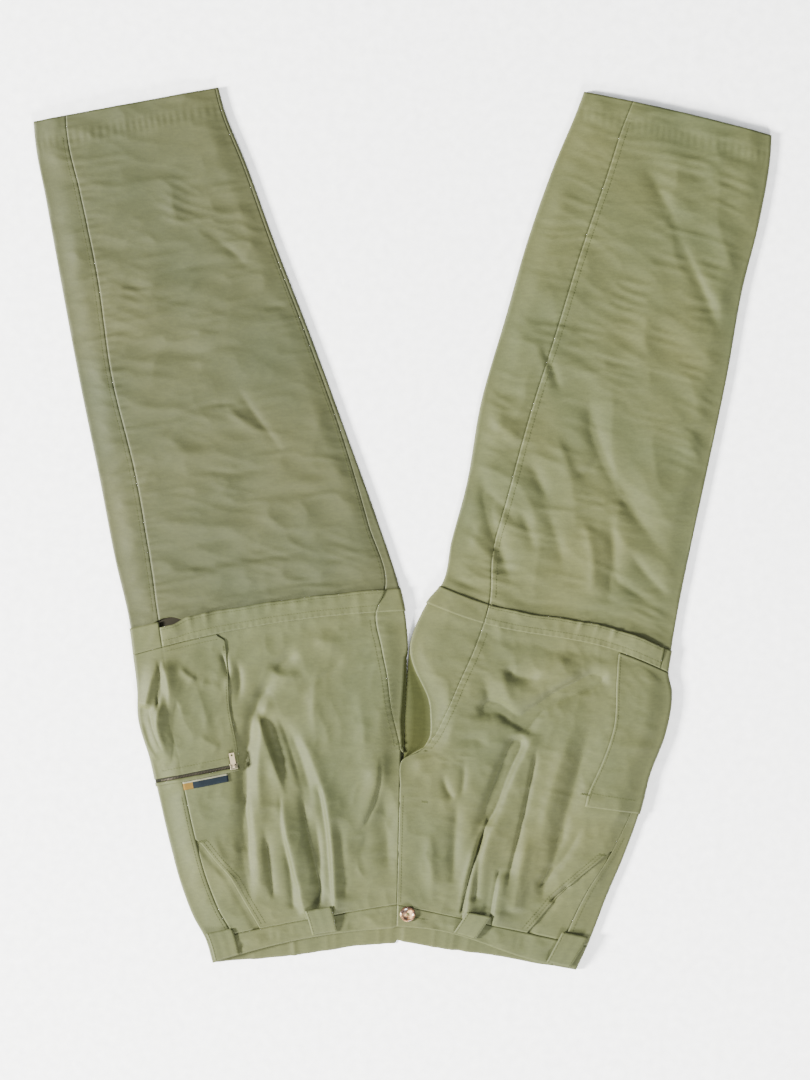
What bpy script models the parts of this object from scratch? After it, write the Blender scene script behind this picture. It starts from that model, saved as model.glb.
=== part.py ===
"""Convertible zip-off trousers, lying flat on their back with the front up.

The waist lies towards -Y and the two legs spread towards +Y. "left" names the wearer's left,
which lies at -X, and "right" the wearer's right, at +X. All sizes are in millimetres and are
turned into metres where a mesh is made.

Each leg and its half of the seat is one flattened tube. A section table gives, at each run down
from the hem, where the tube's outer and inner edges lie, and a place on the tube is named by its
run and by u, the share of the width from the outer edge (0) to the inner edge (1).
"""
import math

import bmesh
import bpy
import numpy as np
from mathutils import Matrix, Vector

MM = 0.001
OBJECT = "convertible_zip_off_trousers"

# Cloth
WALL = 1.0
GAP = 0.3
LAYER = WALL + GAP
TURN = 2.2
SEAM = GAP / 2

# Middle of the garment's outline, which becomes the origin
CENTRE_X = 0.0
CENTRE_Y = 0.45

# Heights of the cloth over the flat edge level
KNEE_PUFF = 1.5
LAP_RISE = 1.0
LAP_WIDTH = 22.0
LOWEST_RELIEF = -0.4
EDGE_FADE = 30.0
VALLEY_FLOOR = 2.2

# The fork's step down into the valley: share of the turn, distance from the crest, share of the drop
VALLEY_EDGE = ((0.125, 0.25, 0.375, 0.5), (0.8, 1.6, 2.6, 0.0), (0.15, 0.5, 0.85, 1.0))

# Sizes of the small pieces
UNDERLAP = 34.0
SHIELD_OVER = 10.0
SHIELD_UNDER = 32.0
FACING_HIDDEN = 12.0
SUNK = 1.9
GATHERS = 8
GATHER_RISE = 0.9
BUTTON_RADIUS = 9.0
BUTTON_HEIGHT = 2.6
BUTTON_PLACE = (6.0, -450.0)
HOLE_RING = 2.2
LABEL_RISE = 0.1
EYE_RADIUS = 1.5
PULL_TILT = -0.14
LUG_REACH = 2.4

SAGE = (0.36, 0.37, 0.18)
SAGE_DARK = (0.25, 0.26, 0.13)


def table(names, *rows):
    """Named columns of a short table."""
    return {name: np.array([row[k] for row in rows], float) for k, name in enumerate(names)}


SECTION = ("run", "outer_x", "outer_y", "inner_x", "inner_y", "bow", "sway", "out_seam", "in_seam")

LEFT_SECTIONS = table(
    SECTION,
    (0, -432, 477, -216, 517, 0, 0, 0.176, 0.985),
    (21, -430, 455, -211, 497, 1, 0, 0.172, 0.985),
    (95, -417, 385, -183, 426, 0, 0, 0.172, 0.985),
    (191, -400, 291, -150, 335, 0, 0, 0.170, 0.985),
    (311, -378, 174, -106, 221, 0, 0, 0.138, 0.985),
    (433, -354, 57, -63, 103, 0, 0, 0.143, 0.982),
    (531, -336, -36, -29, 8, 1, 0, 0.130, 0.964),
    (612, -318, -116, -4, -69, 6, 0, 0.107, 0.948),
    (642, -314, -147, 2, -96, 10, 0, 0.107, 0.897),
    (682, -309, -188, 6, -136, 5, 0, 0.107, 0.904),
    (713, -308, -221, 5, -165, 0, 0, 0.106, 0.925),
    (760, -294, -270, 2, -209, 0, 0, 0.106, 0.950),
    (806, -285, -312, -2, -259, 0, 0, 0.108, 0.998),
    (869, -270, -376, -4, -321, 0, 0, 0.112, 1.0),
    (920, -257, -422, -5, -376, 0, 0, 0.120, 1.0),
    (951, -245, -453, -6, -406, 0, 0, 0.128, 1.0),
    (982, -230, -481, -6, -439, 2, 0, 0.138, 1.0),
    (1011, -222, -508, -6, -467, 8, 0, 0.138, 1.0),
)

RIGHT_SECTIONS = table(
    SECTION,
    (0, 432, 461, 213, 512, 2, 0, 0.03, 0.741),
    (20, 431, 441, 206, 493, 1, 0, 0.03, 0.752),
    (93, 419, 367, 178, 426, 0, 0, 0.03, 0.748),
    (186, 397, 277, 147, 338, 0, 0, 0.03, 0.754),
    (283, 380, 181, 120, 244, 0, 0, 0.03, 0.770),
    (381, 360, 85, 93, 151, 0, 0, 0.03, 0.785),
    (490, 337, -22, 74, 46, 0, 0, 0.03, 0.818),
    (549, 325, -80, 58, -13, 0, 2, 0.03, 0.820),
    (608, 314, -142, 45, -67, 1, 6, 0.03, 0.785),
    (633, 310, -167, 29, -87, 2, 6, 0.03, 0.760),
    (670, 314, -191, 9, -136, 0, 3, 0.03, 0.767),
    (732, 306, -241, 31, -208, 0, 0, 0.03, 0.920),
    (785, 287, -292, 22, -259, 0, 0, 0.03, 0.998),
    (808, 281, -317, -1, -271, 0, 0, 0.03, 1.0),
    (834, 275, -338, -3, -302, 0, 0, 0.035, 1.0),
    (885, 257, -387, -4, -352, 0, 0, 0.062, 1.0),
    (928, 239, -429, -5, -394, 0, 0, 0.098, 1.0),
    (981, 216, -488, -6, -439, 0, 0, 0.125, 1.0),
    (1006, 203, -516, -6, -465, 4, -4, 0.130, 1.0),
)

MOUTH = ("run", "u")
LEFT_MOUTH = table(
    MOUTH,
    (862, 0.112),
    (868, 0.130),
    (895, 0.180),
    (917, 0.227),
    (955, 0.265),
    (982, 0.283),
)
RIGHT_MOUTH = table(
    MOUTH,
    (878, 0.066),
    (893, 0.105),
    (937, 0.223),
    (960, 0.270),
    (981, 0.316),
)

# Loose height of the top layer over the bottom one, by place down the garment
PUFF = table(
    ("y", "height"),
    (-520, 2.0),
    (-445, 2.5),
    (-390, 5.0),
    (-220, 5.0),
    (-100, 2.5),
    (20, 3.0),
    (520, 2.0),
)

# Folds of the front, each a smooth line through three points with a rise or a dip across it.
# "left" and "right" are the widths on either hand, looking from the start to the end.
FOLD = ("start_x", "start_y", "mid_x", "mid_y", "end_x", "end_y",
        "height", "left", "right", "start_fade", "end_fade")
FOLDS = table(
    FOLD,
    (-150, -168, -184, -268, -177, -415, -5.0, 12, 8, 0.15, 0.2),
    (-152, -185, -168, -262, -162, -360, 3.0, 8, 8, 0.2, 0.4),
    (-164, -208, -150, -247, -127, -311, -3.0, 10, 7, 0.25, 0.4),
    (-120, -143, -139, -156, -160, -176, -3.0, 9, 9, 0.4, 0.4),
    (-120, -290, -109, -344, -95, -424, -2.5, 8, 8, 0.3, 0.3),
    (-148, -301, -133, -371, -114, -448, 4.0, 16, 5, 0.4, 0.0),
    (-99, -301, -85, -352, -82, -443, 4.5, 18, 5, 0.4, 0.0),
    (-31, -257, -31, -300, -59, -362, 3.0, 12, 14, 0.4, 0.4),
    (-25, -290, -19, -356, -17, -411, -2.5, 10, 12, 0.3, 0.3),
    (245, -168, 161, -207, 137, -247, -5.0, 12, 12, 0.2, 0.3),
    (225, -170, 175, -190, 120, -250, 3.0, 14, 14, 0.3, 0.4),
    (139, -242, 118, -292, 80, -387, -4.0, 10, 10, 0.2, 0.3),
    (224, -204, 190, -317, 147, -463, -3.0, 12, 10, 0.3, 0.2),
    (77, -225, 114, -211, 136, -239, -4.0, 9, 9, 0.35, 0.3),
    (123, -157, 137, -173, 185, -174, -2.5, 8, 8, 0.3, 0.4),
    (121, -295, 84, -381, 71, -448, 4.5, 18, 5, 0.3, 0.0),
    (115, -397, 111, -422, 106, -453, 4.0, 16, 5, 0.4, 0.0),
    (65, -310, 61, -364, 59, -428, -2.0, 8, 8, 0.3, 0.3),
    (278, 438, 328, 338, 381, 206, -2.5, 12, 10, 0.3, 0.2),
    (292, 425, 340, 330, 384, 235, 1.5, 14, 10, 0.4, 0.3),
    (222, 163, 238, 75, 325, -53, -3.0, 12, 10, 0.3, 0.3),
    (238, 47, 247, -36, 235, -91, -2.5, 9, 9, 0.4, 0.3),
    (144, 89, 161, 54, 174, 25, -2.0, 8, 8, 0.4, 0.4),
    (88, 73, 105, 4, 132, -78, -3.0, 10, 10, 0.3, 0.3),
    (97, 132, 120, 116, 140, 94, 2.0, 10, 10, 0.4, 0.4),
    (135, 29, 147, -1, 157, -32, -2.0, 8, 8, 0.4, 0.4),
    (137, 297, 184, 268, 231, 280, 1.5, 14, 14, 0.5, 0.5),
    (-377, 347, -331, 326, -284, 356, -1.5, 12, 12, 0.5, 0.5),
    (-366, 268, -295, 274, -202, 303, 1.5, 12, 12, 0.4, 0.4),
    (-342, 192, -272, 209, -202, 198, -1.5, 12, 12, 0.4, 0.4),
    (-307, 104, -237, 87, -167, 104, 1.5, 12, 12, 0.4, 0.4),
    (-295, -54, -202, -36, -120, -19, -2.0, 14, 12, 0.4, 0.4),
)

# Bellows of the left cargo pocket, which only ever stand above the cloth below them
POCKET_FOLDS = table(
    FOLD,
    (-284, -158, -266, -204, -265, -270, 7.0, 14, 5, 0.10, 0.06),
    (-287, -164, -285, -205, -281, -230, 4.0, 5, 5, 0.15, 0.3),
    (-301, -180, -293, -206, -276, -250, 3.5, 5, 6, 0.3, 0.3),
)

LEFT = {
    "name": "left", "sign": -1.0, "sections": LEFT_SECTIONS, "mouth": LEFT_MOUTH,
    "flap": (612.0, 642.0), "zip": (618.0, 633.0), "apex": 682.0, "crotch": 806.0, "fly": 806.0,
    "waist": 982.0, "edge": 1011.0, "pocket": (642.5, 794.0), "pocket_edge": (0.337, 0.337),
    "pleats": (0.497, 0.675), "leg_seam": None, "last_fork": 794.0,
    "flap_notch": 7.0, "flap_tucks": (0.22, 0.28), "shoulder": 5.0,
}
RIGHT = {
    "name": "right", "sign": 1.0, "sections": RIGHT_SECTIONS, "mouth": RIGHT_MOUTH,
    "flap": (608.0, 633.0), "zip": (611.5, 625.0), "apex": 670.0, "crotch": 785.0, "fly": 834.0,
    "waist": 981.0, "edge": 1006.0, "pocket": (634.0, 828.0), "pocket_edge": (0.207, 0.240),
    "pleats": (0.500, 0.645), "leg_seam": -0.06, "last_fork": 768.0,
    "flap_notch": 0.0, "flap_tucks": (0.25, 0.32, 0.39), "shoulder": 2.5,
}
SIDES = (LEFT, RIGHT)
POCKET_UNDER = 0.15
LIFT_REACH = 0.20
PLEAT = 0.022

LEG_ROWS = (0, 21, 58, 95, 143, 191, 240, 290, 340, 390, 440, 485, 531, 568)
SEAT_ROWS = {
    "left": (682, 700, 722, 744, 766, 785, 789.7, 794, 806, 824,
             843, 862, 880, 898, 916, 934, 952, 968, 982),
    "right": (670, 688, 710, 732, 750, 768, 785, 808, 828, 845,
              862, 878, 895, 912, 928, 945, 960, 970, 981),
}

# Where the cargo pocket's slider sits on its zip, and how far up the tab its pieces lie
SLIDER_RUN = 787.5
SLIDER_U = 0.318
TAB_SIZE = (6.0, 13.0, 1.0)
TAB_REACH = 9.5
NECK_SIZE = (2.6, 4.6, 1.0)
NECK_REACH = 2.3
HOLE_REACH = 13.4


def smooth(value):
    value = np.clip(value, 0.0, 1.0)
    return value * value * (3.0 - 2.0 * value)


def window(value, low, high, ramp):
    """1 from low to high, falling to 0 over the ramp on either side."""
    return smooth((value - low) / ramp + 1.0) * smooth((high - value) / ramp + 1.0)


def along(section, name, run):
    """Smooth curve through one column of a section table."""
    knots = section["run"]
    values = section[name]
    slopes = np.gradient(values, knots)
    run = np.asarray(run, float)
    k = np.clip(np.searchsorted(knots, run, side="right") - 1, 0, len(knots) - 2)
    step = knots[k + 1] - knots[k]
    t = (run - knots[k]) / step
    start = (1 + 2 * t) * (1 - t) ** 2 * values[k] + t * (1 - t) ** 2 * step * slopes[k]
    end = t * t * (3 - 2 * t) * values[k + 1] + t * t * (t - 1) * step * slopes[k + 1]
    return start + end


def centre_front(y):
    return -2.3 + 0.0229 * (y + 258.6)


def centre_back(y):
    return 6.4 + 0.0401 * (y + 135.7)


def ends(side, run):
    """Outer and inner ends of the section lines of the top layer, and the inner ends below."""
    section = side["sections"]
    outer = np.stack([along(section, "outer_x", run), along(section, "outer_y", run)], -1)
    inner = np.stack([along(section, "inner_x", run), along(section, "inner_y", run)], -1)
    inner[..., 0] = np.where(run > side["fly"], centre_front(inner[..., 1]), inner[..., 0])
    drop = 12.0 * smooth((run - 860.0) / 115.0) + 4.0 * smooth((run - side["waist"]) / 25.0)
    below_y = inner[..., 1] - drop
    split = (run > side["apex"] + 1.0)[..., None]
    below = np.where(split, np.stack([centre_back(below_y), below_y], -1), inner)
    return outer, inner, below


def width(side, run, below=False):
    outer, inner, centre = ends(side, run)
    return np.linalg.norm((centre if below else inner) - outer, axis=-1)


def plan(side, run, u, below=False):
    """Place on the flat of a point of the tube, seen from above."""
    outer, inner, centre = ends(side, run)
    across = (centre if below else inner) - outer
    length = np.linalg.norm(across, axis=-1)[..., None]
    normal = np.stack([-across[..., 1], across[..., 0]], -1) / length
    normal = normal * np.sign(normal[..., 1:2])
    if below:
        return outer + across * u[..., None]
    bow = along(side["sections"], "bow", run) * 4.0 * u * (1.0 - u)
    sway = along(side["sections"], "sway", run) * np.sin(2.0 * math.pi * np.clip(u, 0.0, 1.0))
    return outer + across * u[..., None] + normal * (bow + sway)[..., None]


def relief(folds, x, y):
    """Height that a table of folds adds at each place."""
    total = np.zeros(np.shape(x))
    steps = 8
    for k in range(len(folds["height"])):
        row = {name: folds[name][k] for name in FOLD}
        s = np.linspace(0.0, 1.0, steps + 1)
        blend = ((1 - s) * (1 - 2 * s), 4 * s * (1 - s), s * (2 * s - 1))
        path_x = blend[0] * row["start_x"] + blend[1] * row["mid_x"] + blend[2] * row["end_x"]
        path_y = blend[0] * row["start_y"] + blend[1] * row["mid_y"] + blend[2] * row["end_y"]
        best = np.full(np.shape(x), 1e9)
        place = np.zeros(np.shape(x))
        hand = np.zeros(np.shape(x))
        for n in range(steps):
            dx = path_x[n + 1] - path_x[n]
            dy = path_y[n + 1] - path_y[n]
            t = np.clip(((x - path_x[n]) * dx + (y - path_y[n]) * dy) / (dx * dx + dy * dy), 0, 1)
            off_x = x - path_x[n] - t * dx
            off_y = y - path_y[n] - t * dy
            distance = np.hypot(off_x, off_y)
            nearer = distance < best
            best = np.where(nearer, distance, best)
            place = np.where(nearer, (n + t) / steps, place)
            hand = np.where(nearer, dx * off_y - dy * off_x, hand)
        spread = np.where(hand > 0, row["left"], row["right"])
        fade = np.ones(np.shape(x))
        if row["start_fade"] > 0:
            fade = fade * smooth(place / row["start_fade"])
        if row["end_fade"] > 0:
            fade = fade * smooth((1.0 - place) / row["end_fade"])
        total = total + row["height"] * fade * np.exp(-(best / spread) ** 2)
    return total


def lift(side, run, u):
    """Height by which the tube stands over what is wrapped beneath it."""
    knee = window(run, side["flap"][0] - 4.0, side["flap"][1] + 2.0, 14.0)
    pocket = window(run, side["flap"][0] - 4.0, side["pocket"][1] + 3.0, 14.0)
    reach = 1.0 - smooth((u - LIFT_REACH) / 0.08)
    return LAYER * (knee + (pocket - knee) * reach)


def bottom(side, run, u, out=0.0):
    run, u = np.broadcast_arrays(np.asarray(run, float), np.asarray(u, float))
    place = plan(side, run, u, below=True)
    z = WALL / 2 + lift(side, run, u) - out
    return np.concatenate([place, z[..., None]], -1)


def top(side, run, u, out=0.0):
    """Points of the tube's upper layer."""
    run, u = np.broadcast_arrays(np.asarray(run, float), np.asarray(u, float))
    place = plan(side, run, u)
    length = width(side, run)
    x, y = place[..., 0], place[..., 1]
    inner_y = ends(side, run)[1][..., 1]
    joined = smooth((-259.0 - inner_y) / 45.0)
    outer_fade = smooth((u * length - TURN) / EDGE_FADE)
    inner_fade = smooth(((1.0 - u) * length - TURN) / EDGE_FADE)
    fade = outer_fade * (inner_fade + joined * (1.0 - inner_fade))
    folds = relief(FOLDS, x, y) * np.where(run > side["waist"], 0.0, 1.0)
    folds = folds * (1.0 - 0.55 * smooth((run - side["waist"] + 28.0) / 28.0))
    height = np.maximum(np.interp(y, PUFF["y"], PUFF["height"]) + folds, LOWEST_RELIEF)
    knee = window(run, side["flap"][0] - 10.0, side["flap"][1] + 5.0, 22.0)
    height = height * (1.0 - knee) + KNEE_PUFF * knee
    lap = 0.0
    if side["sign"] > 0:
        lap = LAP_RISE * joined * (1.0 - smooth((1.0 - u) * length / LAP_WIDTH - 0.3))
    z = WALL / 2 + 2 * TURN + lift(side, run, u) + fade * height + lap + out
    return np.concatenate([place, z[..., None]], -1)


def turn(side, run, inner_edge, angle, out=0.0):
    """Points where the cloth turns round an edge, from the top (0) to the bottom (pi)."""
    run = np.asarray(run, float)
    length = width(side, run)
    inset = TURN - (TURN + out) * math.sin(angle)
    u = inset / length
    if inner_edge:
        u = 1.0 - u
    place = plan(side, run, u)
    z = WALL / 2 + lift(side, run, u) + TURN + (TURN + out) * math.cos(angle)
    return np.concatenate([place, z[..., None]], -1)


def spaced(start, end, count):
    return [start + (end - start) * k / count for k in range(count + 1)]


def out_seam(side, run):
    return along(side["sections"], "out_seam", run)


def in_seam(side, run):
    return along(side["sections"], "in_seam", run)


def front_edge(side, run):
    """Outer boundary of the front: the side seam, then the slanting pocket mouth."""
    mouth = np.interp(run, side["mouth"]["run"], side["mouth"]["u"])
    return np.where(run > side["mouth"]["run"][0], mouth, out_seam(side, run))


def stack(columns):
    return np.stack(columns, axis=1)


def collection(name):
    """The collection of this name, made and shown in the scene if it is new."""
    found = bpy.data.collections.get(name)
    if found is None:
        found = bpy.data.collections.new(name)
        bpy.context.scene.collection.children.link(found)
    return found


def put(piece, group=OBJECT):
    """Keep an object in one collection only."""
    for other in list(piece.users_collection):
        other.objects.unlink(piece)
    collection(group).objects.link(piece)


def material(name, colour, roughness, metallic=0.0):
    found = bpy.data.materials.get(name)
    if found:
        return found
    made = bpy.data.materials.new(name)
    made.use_nodes = True
    shader = made.node_tree.nodes["Principled BSDF"]
    shader.inputs["Base Color"].default_value = (*colour, 1.0)
    shader.inputs["Roughness"].default_value = roughness
    shader.inputs["Metallic"].default_value = metallic
    return made


def cloth(name, grids, finish=None, wall=WALL):
    """A sheet of cloth: grids of mid-surface points, welded where they share points."""
    mesh = bpy.data.meshes.new(name)
    shape = bmesh.new()
    for grid in grids:
        rows, columns = grid.shape[:2]
        placed = (grid - (CENTRE_X, CENTRE_Y, 0.0)) * MM
        points = [[shape.verts.new(point) for point in row] for row in placed]
        for r in range(rows - 1):
            for c in range(columns - 1):
                corners = (points[r][c], points[r][c + 1], points[r + 1][c + 1], points[r + 1][c])
                shape.faces.new(corners)
    bmesh.ops.remove_doubles(shape, verts=shape.verts, dist=0.00002)
    bmesh.ops.recalc_face_normals(shape, faces=shape.faces)
    shape.to_mesh(mesh)
    shape.free()
    mesh.materials.append(finish or material("sage_cotton", SAGE, 0.9))
    mesh.shade_smooth()
    piece = bpy.data.objects.new(name, mesh)
    put(piece)
    skin = piece.modifiers.new("wall", "SOLIDIFY")
    skin.thickness = wall * MM
    skin.offset = 0.0
    return piece


def normals(grid):
    """Upward-turning normals of a grid of points."""
    down = np.gradient(grid, axis=0)
    across = np.gradient(grid, axis=1)
    normal = np.cross(across, down)
    normal /= np.linalg.norm(normal, axis=-1)[..., None]
    middle = normal[normal.shape[0] // 2, -1]
    return normal if middle[2] > 0 else -normal


def leg_rows(side):
    tail = (side["flap"][0] - 18.0, side["flap"][0] - 4.0, side["zip"][0])
    return np.array(LEG_ROWS + tail, float)


def seat_rows(side):
    head = (side["zip"][1] + GAP, side["flap"][1], side["flap"][1] + 14.0)
    rows = np.array(head + SEAT_ROWS[side["name"]], float)
    rows[-1] -= SEAM
    return rows


def front_tube(side, rows, first, last, count, out=0.0):
    """Columns of a front between two seams, and round the outer edge if the seam is beneath."""
    length = width(side, rows)
    start = first + SEAM / length
    end = last - SEAM / length
    columns = []
    if np.max(first) < 0:
        columns.append(bottom(side, rows, -start, out))
        for share in (1.0, 0.75, 0.5, 0.25):
            columns.append(turn(side, rows, False, math.pi * share, out))
        start = TURN / length
    columns += [top(side, rows, u, out) for u in spaced(start, end, count)]
    return columns


def back_tube(side, rows, first, last, strip, count, out=0.0):
    """Columns of a back: from the inseam round the inner edge, beneath, and up to the side seam."""
    length = width(side, rows)
    edge = TURN / length
    columns = [top(side, rows, u, out) for u in spaced(last + SEAM / length, 1.0 - edge, strip)]
    shares = (0.25, 0.5, 0.75, 1.0) if out == 0 else (0.125, 0.25, 0.375, 0.5, 0.75, 1.0)
    columns += [turn(side, rows, True, math.pi * share, out) for share in shares]
    if np.max(first) < 0:
        seam = -first + SEAM / length
        columns += [bottom(side, rows, u, out) for u in spaced(1.0 - edge, seam, count)[1:]]
        return columns
    columns += [bottom(side, rows, u, out) for u in spaced(1.0 - edge, edge, count)[1:]]
    columns += [turn(side, rows, False, math.pi * share, out) for share in (0.75, 0.5, 0.25)]
    columns += [top(side, rows, u, out) for u in spaced(edge, first - SEAM / length, 2)]
    return columns


def build_leg(side):
    """The zip-off lower leg and its zip, each a front and a back."""
    name = side["name"]
    strip = 1 if name == "left" else 3
    tape = material("zip_tape", SAGE_DARK, 0.8)
    zip_rows = np.array([side["zip"][0] + GAP, side["zip"][1]])
    for part, rows, finish in (("_leg", leg_rows(side), None), ("_knee_zip", zip_rows, tape)):
        outer = out_seam(side, rows)
        if side["leg_seam"] is not None:
            outer = np.full(rows.shape, side["leg_seam"])
        inner = in_seam(side, rows)
        cloth(name + part + "_front", [stack(front_tube(side, rows, outer, inner, 10))], finish)
        cloth(name + part + "_back", [stack(back_tube(side, rows, outer, inner, strip, 5))], finish)


def flap_stand(side, run, u):
    """How far the knee flap's free edge stands off the leg."""
    reach = smooth((side["flap"][1] - run) / (side["flap"][1] - side["flap"][0]))
    stand = 0.8 + 0.7 * np.sin(2 * math.pi * 2.6 * u + 0.7) ** 2
    stand = stand + 3.2 * np.exp(-((u - 0.15) / 0.06) ** 2)
    for tuck in side["flap_tucks"]:
        stand = stand + 1.2 * np.exp(-((u - tuck) / 0.018) ** 2)
    return reach * stand


def build_flap(side):
    name = side["name"]
    low, high = side["flap"]
    seam = side["zip"][1] + GAP
    rows = np.array([low, (low + seam) / 2, seam, high])
    outer = out_seam(side, rows)
    inner = in_seam(side, rows)
    length = width(side, rows)
    columns = []
    for u in spaced(outer + SEAM / length, inner - SEAM / length, 16):
        notch = side["flap_notch"] * (1.0 - smooth((u - 0.15) / 0.07)) * (high - rows) / (high - low)
        points = top(side, rows + notch, u, LAYER)
        points[..., 2] += flap_stand(side, rows, u)
        columns.append(points)
    cloth(name + "_knee_flap_front", [stack(columns)])
    cloth(name + "_knee_flap_back", [stack(back_tube(side, rows, outer, inner, 2, 5, LAYER))])


def front_columns(side, rows):
    """Columns of the front of the seat, with a column on the pocket's edge and on each pleat."""
    length = width(side, rows)
    start = front_edge(side, rows) + SEAM / length
    share = (rows - rows[0]) / (rows[-1] - rows[0])
    pocket = side["pocket_edge"][0] + (side["pocket_edge"][1] - side["pocket_edge"][0]) * share
    pocket = np.maximum(pocket, start + 0.02)
    outer_pleat, inner_pleat = side["pleats"]
    end = in_seam(side, rows)
    end = np.where(rows >= side["crotch"], 1.0, end) - SEAM / length
    keys = (start, pocket, outer_pleat - PLEAT, outer_pleat, inner_pleat - PLEAT, inner_pleat, end)
    columns = [start]
    for low, high, count in zip(keys, keys[1:], (3, 3, 1, 3, 1, 5)):
        columns += spaced(low, high, count)[1:]
    return columns


def build_seat(side):
    name = side["name"]
    rows = seat_rows(side)
    columns = front_columns(side, rows)
    cloth(name + "_front", [stack([top(side, rows, u) for u in columns])])
    cloth(name + "_back", [back_seat(side, rows), fork(side, rows)])


def centre_gap(side, rows):
    """Distance of the backs from the centre seam, wider where the two legs part."""
    return SEAM + 0.1 + 0.9 * (1.0 - smooth((rows - side["apex"]) / 45.0))


def back_seat(side, rows):
    """The back beneath, from the centre-back seam round the outer edge to the side seam."""
    length = width(side, rows)
    below = width(side, rows, below=True)
    closed = rows <= side["apex"] + 1.0
    edge = TURN / length
    columns = []
    for angle, inset in ((math.pi / 2, 0.0), (math.pi * 3 / 4, 1.4), (math.pi, 4.0)):
        turned = turn(side, rows, True, angle)
        flat = bottom(side, rows, 1.0 - (centre_gap(side, rows) + inset) / below)
        columns.append(np.where(closed[:, None], turned, flat))
    start = np.where(closed, 1.0 - edge, 1.0 - (centre_gap(side, rows) + 4.0) / below)
    columns += [bottom(side, rows, u) for u in spaced(start, edge, 6)[1:]]
    columns += [turn(side, rows, False, math.pi * share) for share in (0.75, 0.5, 0.25)]
    seam = out_seam(side, rows) - SEAM / length
    columns += [top(side, rows, u) for u in spaced(edge, seam, 2)]
    return stack(columns)


def fork(side, rows):
    """The part of the back that comes over the inner edge up to the inseam, down to the crotch."""
    rows = rows[rows <= side["last_fork"] + 0.1]
    length = width(side, rows)
    closed = rows <= side["apex"] + 1.0
    start = in_seam(side, rows) + SEAM / length
    shoulder = np.where(closed, TURN, np.minimum(side["shoulder"], 0.45 * (1.0 - start) * length))
    columns = [top(side, rows, u) for u in spaced(start, 1.0 - shoulder / length, 3)]
    crest = columns[-1]
    seam = bottom(side, rows, 1.0 - centre_gap(side, rows) / width(side, rows, below=True))
    seam[..., 2] = VALLEY_FLOOR
    reach = np.linalg.norm((seam - crest)[..., :2], axis=-1)
    for share, sweep, drop in zip(*VALLEY_EDGE):
        turned = turn(side, rows, True, math.pi * share)
        step = np.minimum(sweep / reach, share * 2) if share < 0.5 else np.ones(rows.shape)
        slope = crest + (seam - crest) * step[:, None]
        slope[..., 2] = crest[..., 2] + (VALLEY_FLOOR - crest[..., 2]) * drop
        columns.append(np.where(closed[:, None], turned, slope))
    grid = stack(columns)
    return np.concatenate([grid, hook(side, grid.shape[1])[None]], 0)


def hook(side, count):
    """The fork's last row, along the end of the front's crotch hook."""
    start = top(side, side["crotch"] - 0.3, 1.0 + 0.2 / width(side, np.array(side["crotch"])))
    end_y = -262.0 if side["sign"] < 0 else -269.0
    end_x = centre_back(end_y) + side["sign"] * (SEAM + 0.4)
    end = np.array([end_x, end_y, start[2]])
    return np.array([start + (end - start) * k / (count - 1) for k in range(count)])


def build_pocket_facing(side):
    rows = seat_rows(side)
    rows = rows[rows >= side["mouth"]["run"][0]]
    rows[-1] -= 0.3
    length = width(side, rows)
    start = out_seam(side, rows) + 2 * SEAM / length
    end = front_edge(side, rows) + FACING_HIDDEN / length
    grid = stack([top(side, rows, u, -SUNK) for u in spaced(start, end, 4)])
    cloth(side["name"] + "_pocket_facing", [grid])


def pocket_grid(side, rows, edge):
    """Points of the cloth under a pocket patch, from beneath the outer edge to the patch's edge."""
    length = width(side, rows)
    below = width(side, rows, below=True)
    turned = TURN / length
    under = np.full(rows.shape, POCKET_UNDER)
    columns = [bottom(side, rows, u) for u in spaced(under, TURN / below, 2)]
    columns += [turn(side, rows, False, math.pi * share) for share in (0.75, 0.5, 0.25)]
    seam = out_seam(side, rows)
    columns += [top(side, rows, u) for u in spaced(turned, seam, 2)]
    columns += [top(side, rows, u) for u in spaced(seam, edge, 3)[1:]]
    return stack(columns)


def raised(grid, out, folds=None):
    """A grid moved out along its normals, and further up where folds rise."""
    lifted = grid + normals(grid) * out
    if folds is not None:
        extra = np.maximum(relief(folds, grid[..., 0], grid[..., 1]), 0.0)
        upper = smooth((grid[..., 2] - 4.0) / 2.0)
        lifted[..., 2] += extra * upper
    return lifted


def build_left_pocket():
    side = LEFT
    low, high = side["pocket"]
    rows = np.array([low, 658.0, 682.0, 700.0, 722.0, 744.0, 766.0, 785.0 - SEAM])
    edge = np.full(rows.shape, side["pocket_edge"][0])
    cloth("left_cargo_pocket", [raised(pocket_grid(side, rows, edge), LAYER, POCKET_FOLDS)])
    rows = np.array([785.0 + SEAM, 789.7 - SEAM])
    edge = np.full(rows.shape, side["pocket_edge"][0])
    tape = material("zip_tape", SAGE_DARK, 0.8)
    cloth("left_cargo_zip", [raised(pocket_grid(side, rows, edge), LAYER)], tape)
    rows = np.array([789.7 + SEAM, high])
    cloth("left_cargo_welt", [raised(pocket_grid(side, rows, edge), LAYER)])
    rows = np.array([794.6, 804.5])
    length = width(side, rows)
    label = stack([top(side, rows, u) for u in spaced(np.full(rows.shape, 0.106), 0.29, 4)])
    finish = material("label", (0.05, 0.12, 0.16), 0.7)
    cloth("left_cargo_label", [raised(label, LAYER + LABEL_RISE)], finish)


def build_right_pocket():
    side = RIGHT
    low, high = side["pocket"]
    rows = np.array([low, 649.0, 670.0, 688.0, 710.0, 732.0, 750.0, 768.0, 785.0, 808.0, high])
    share = (rows - side["zip"][1]) / (side["waist"] - side["zip"][1])
    edge = side["pocket_edge"][0] + (side["pocket_edge"][1] - side["pocket_edge"][0]) * share
    cloth("right_cargo_pocket", [raised(pocket_grid(side, rows, edge), LAYER)])


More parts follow.
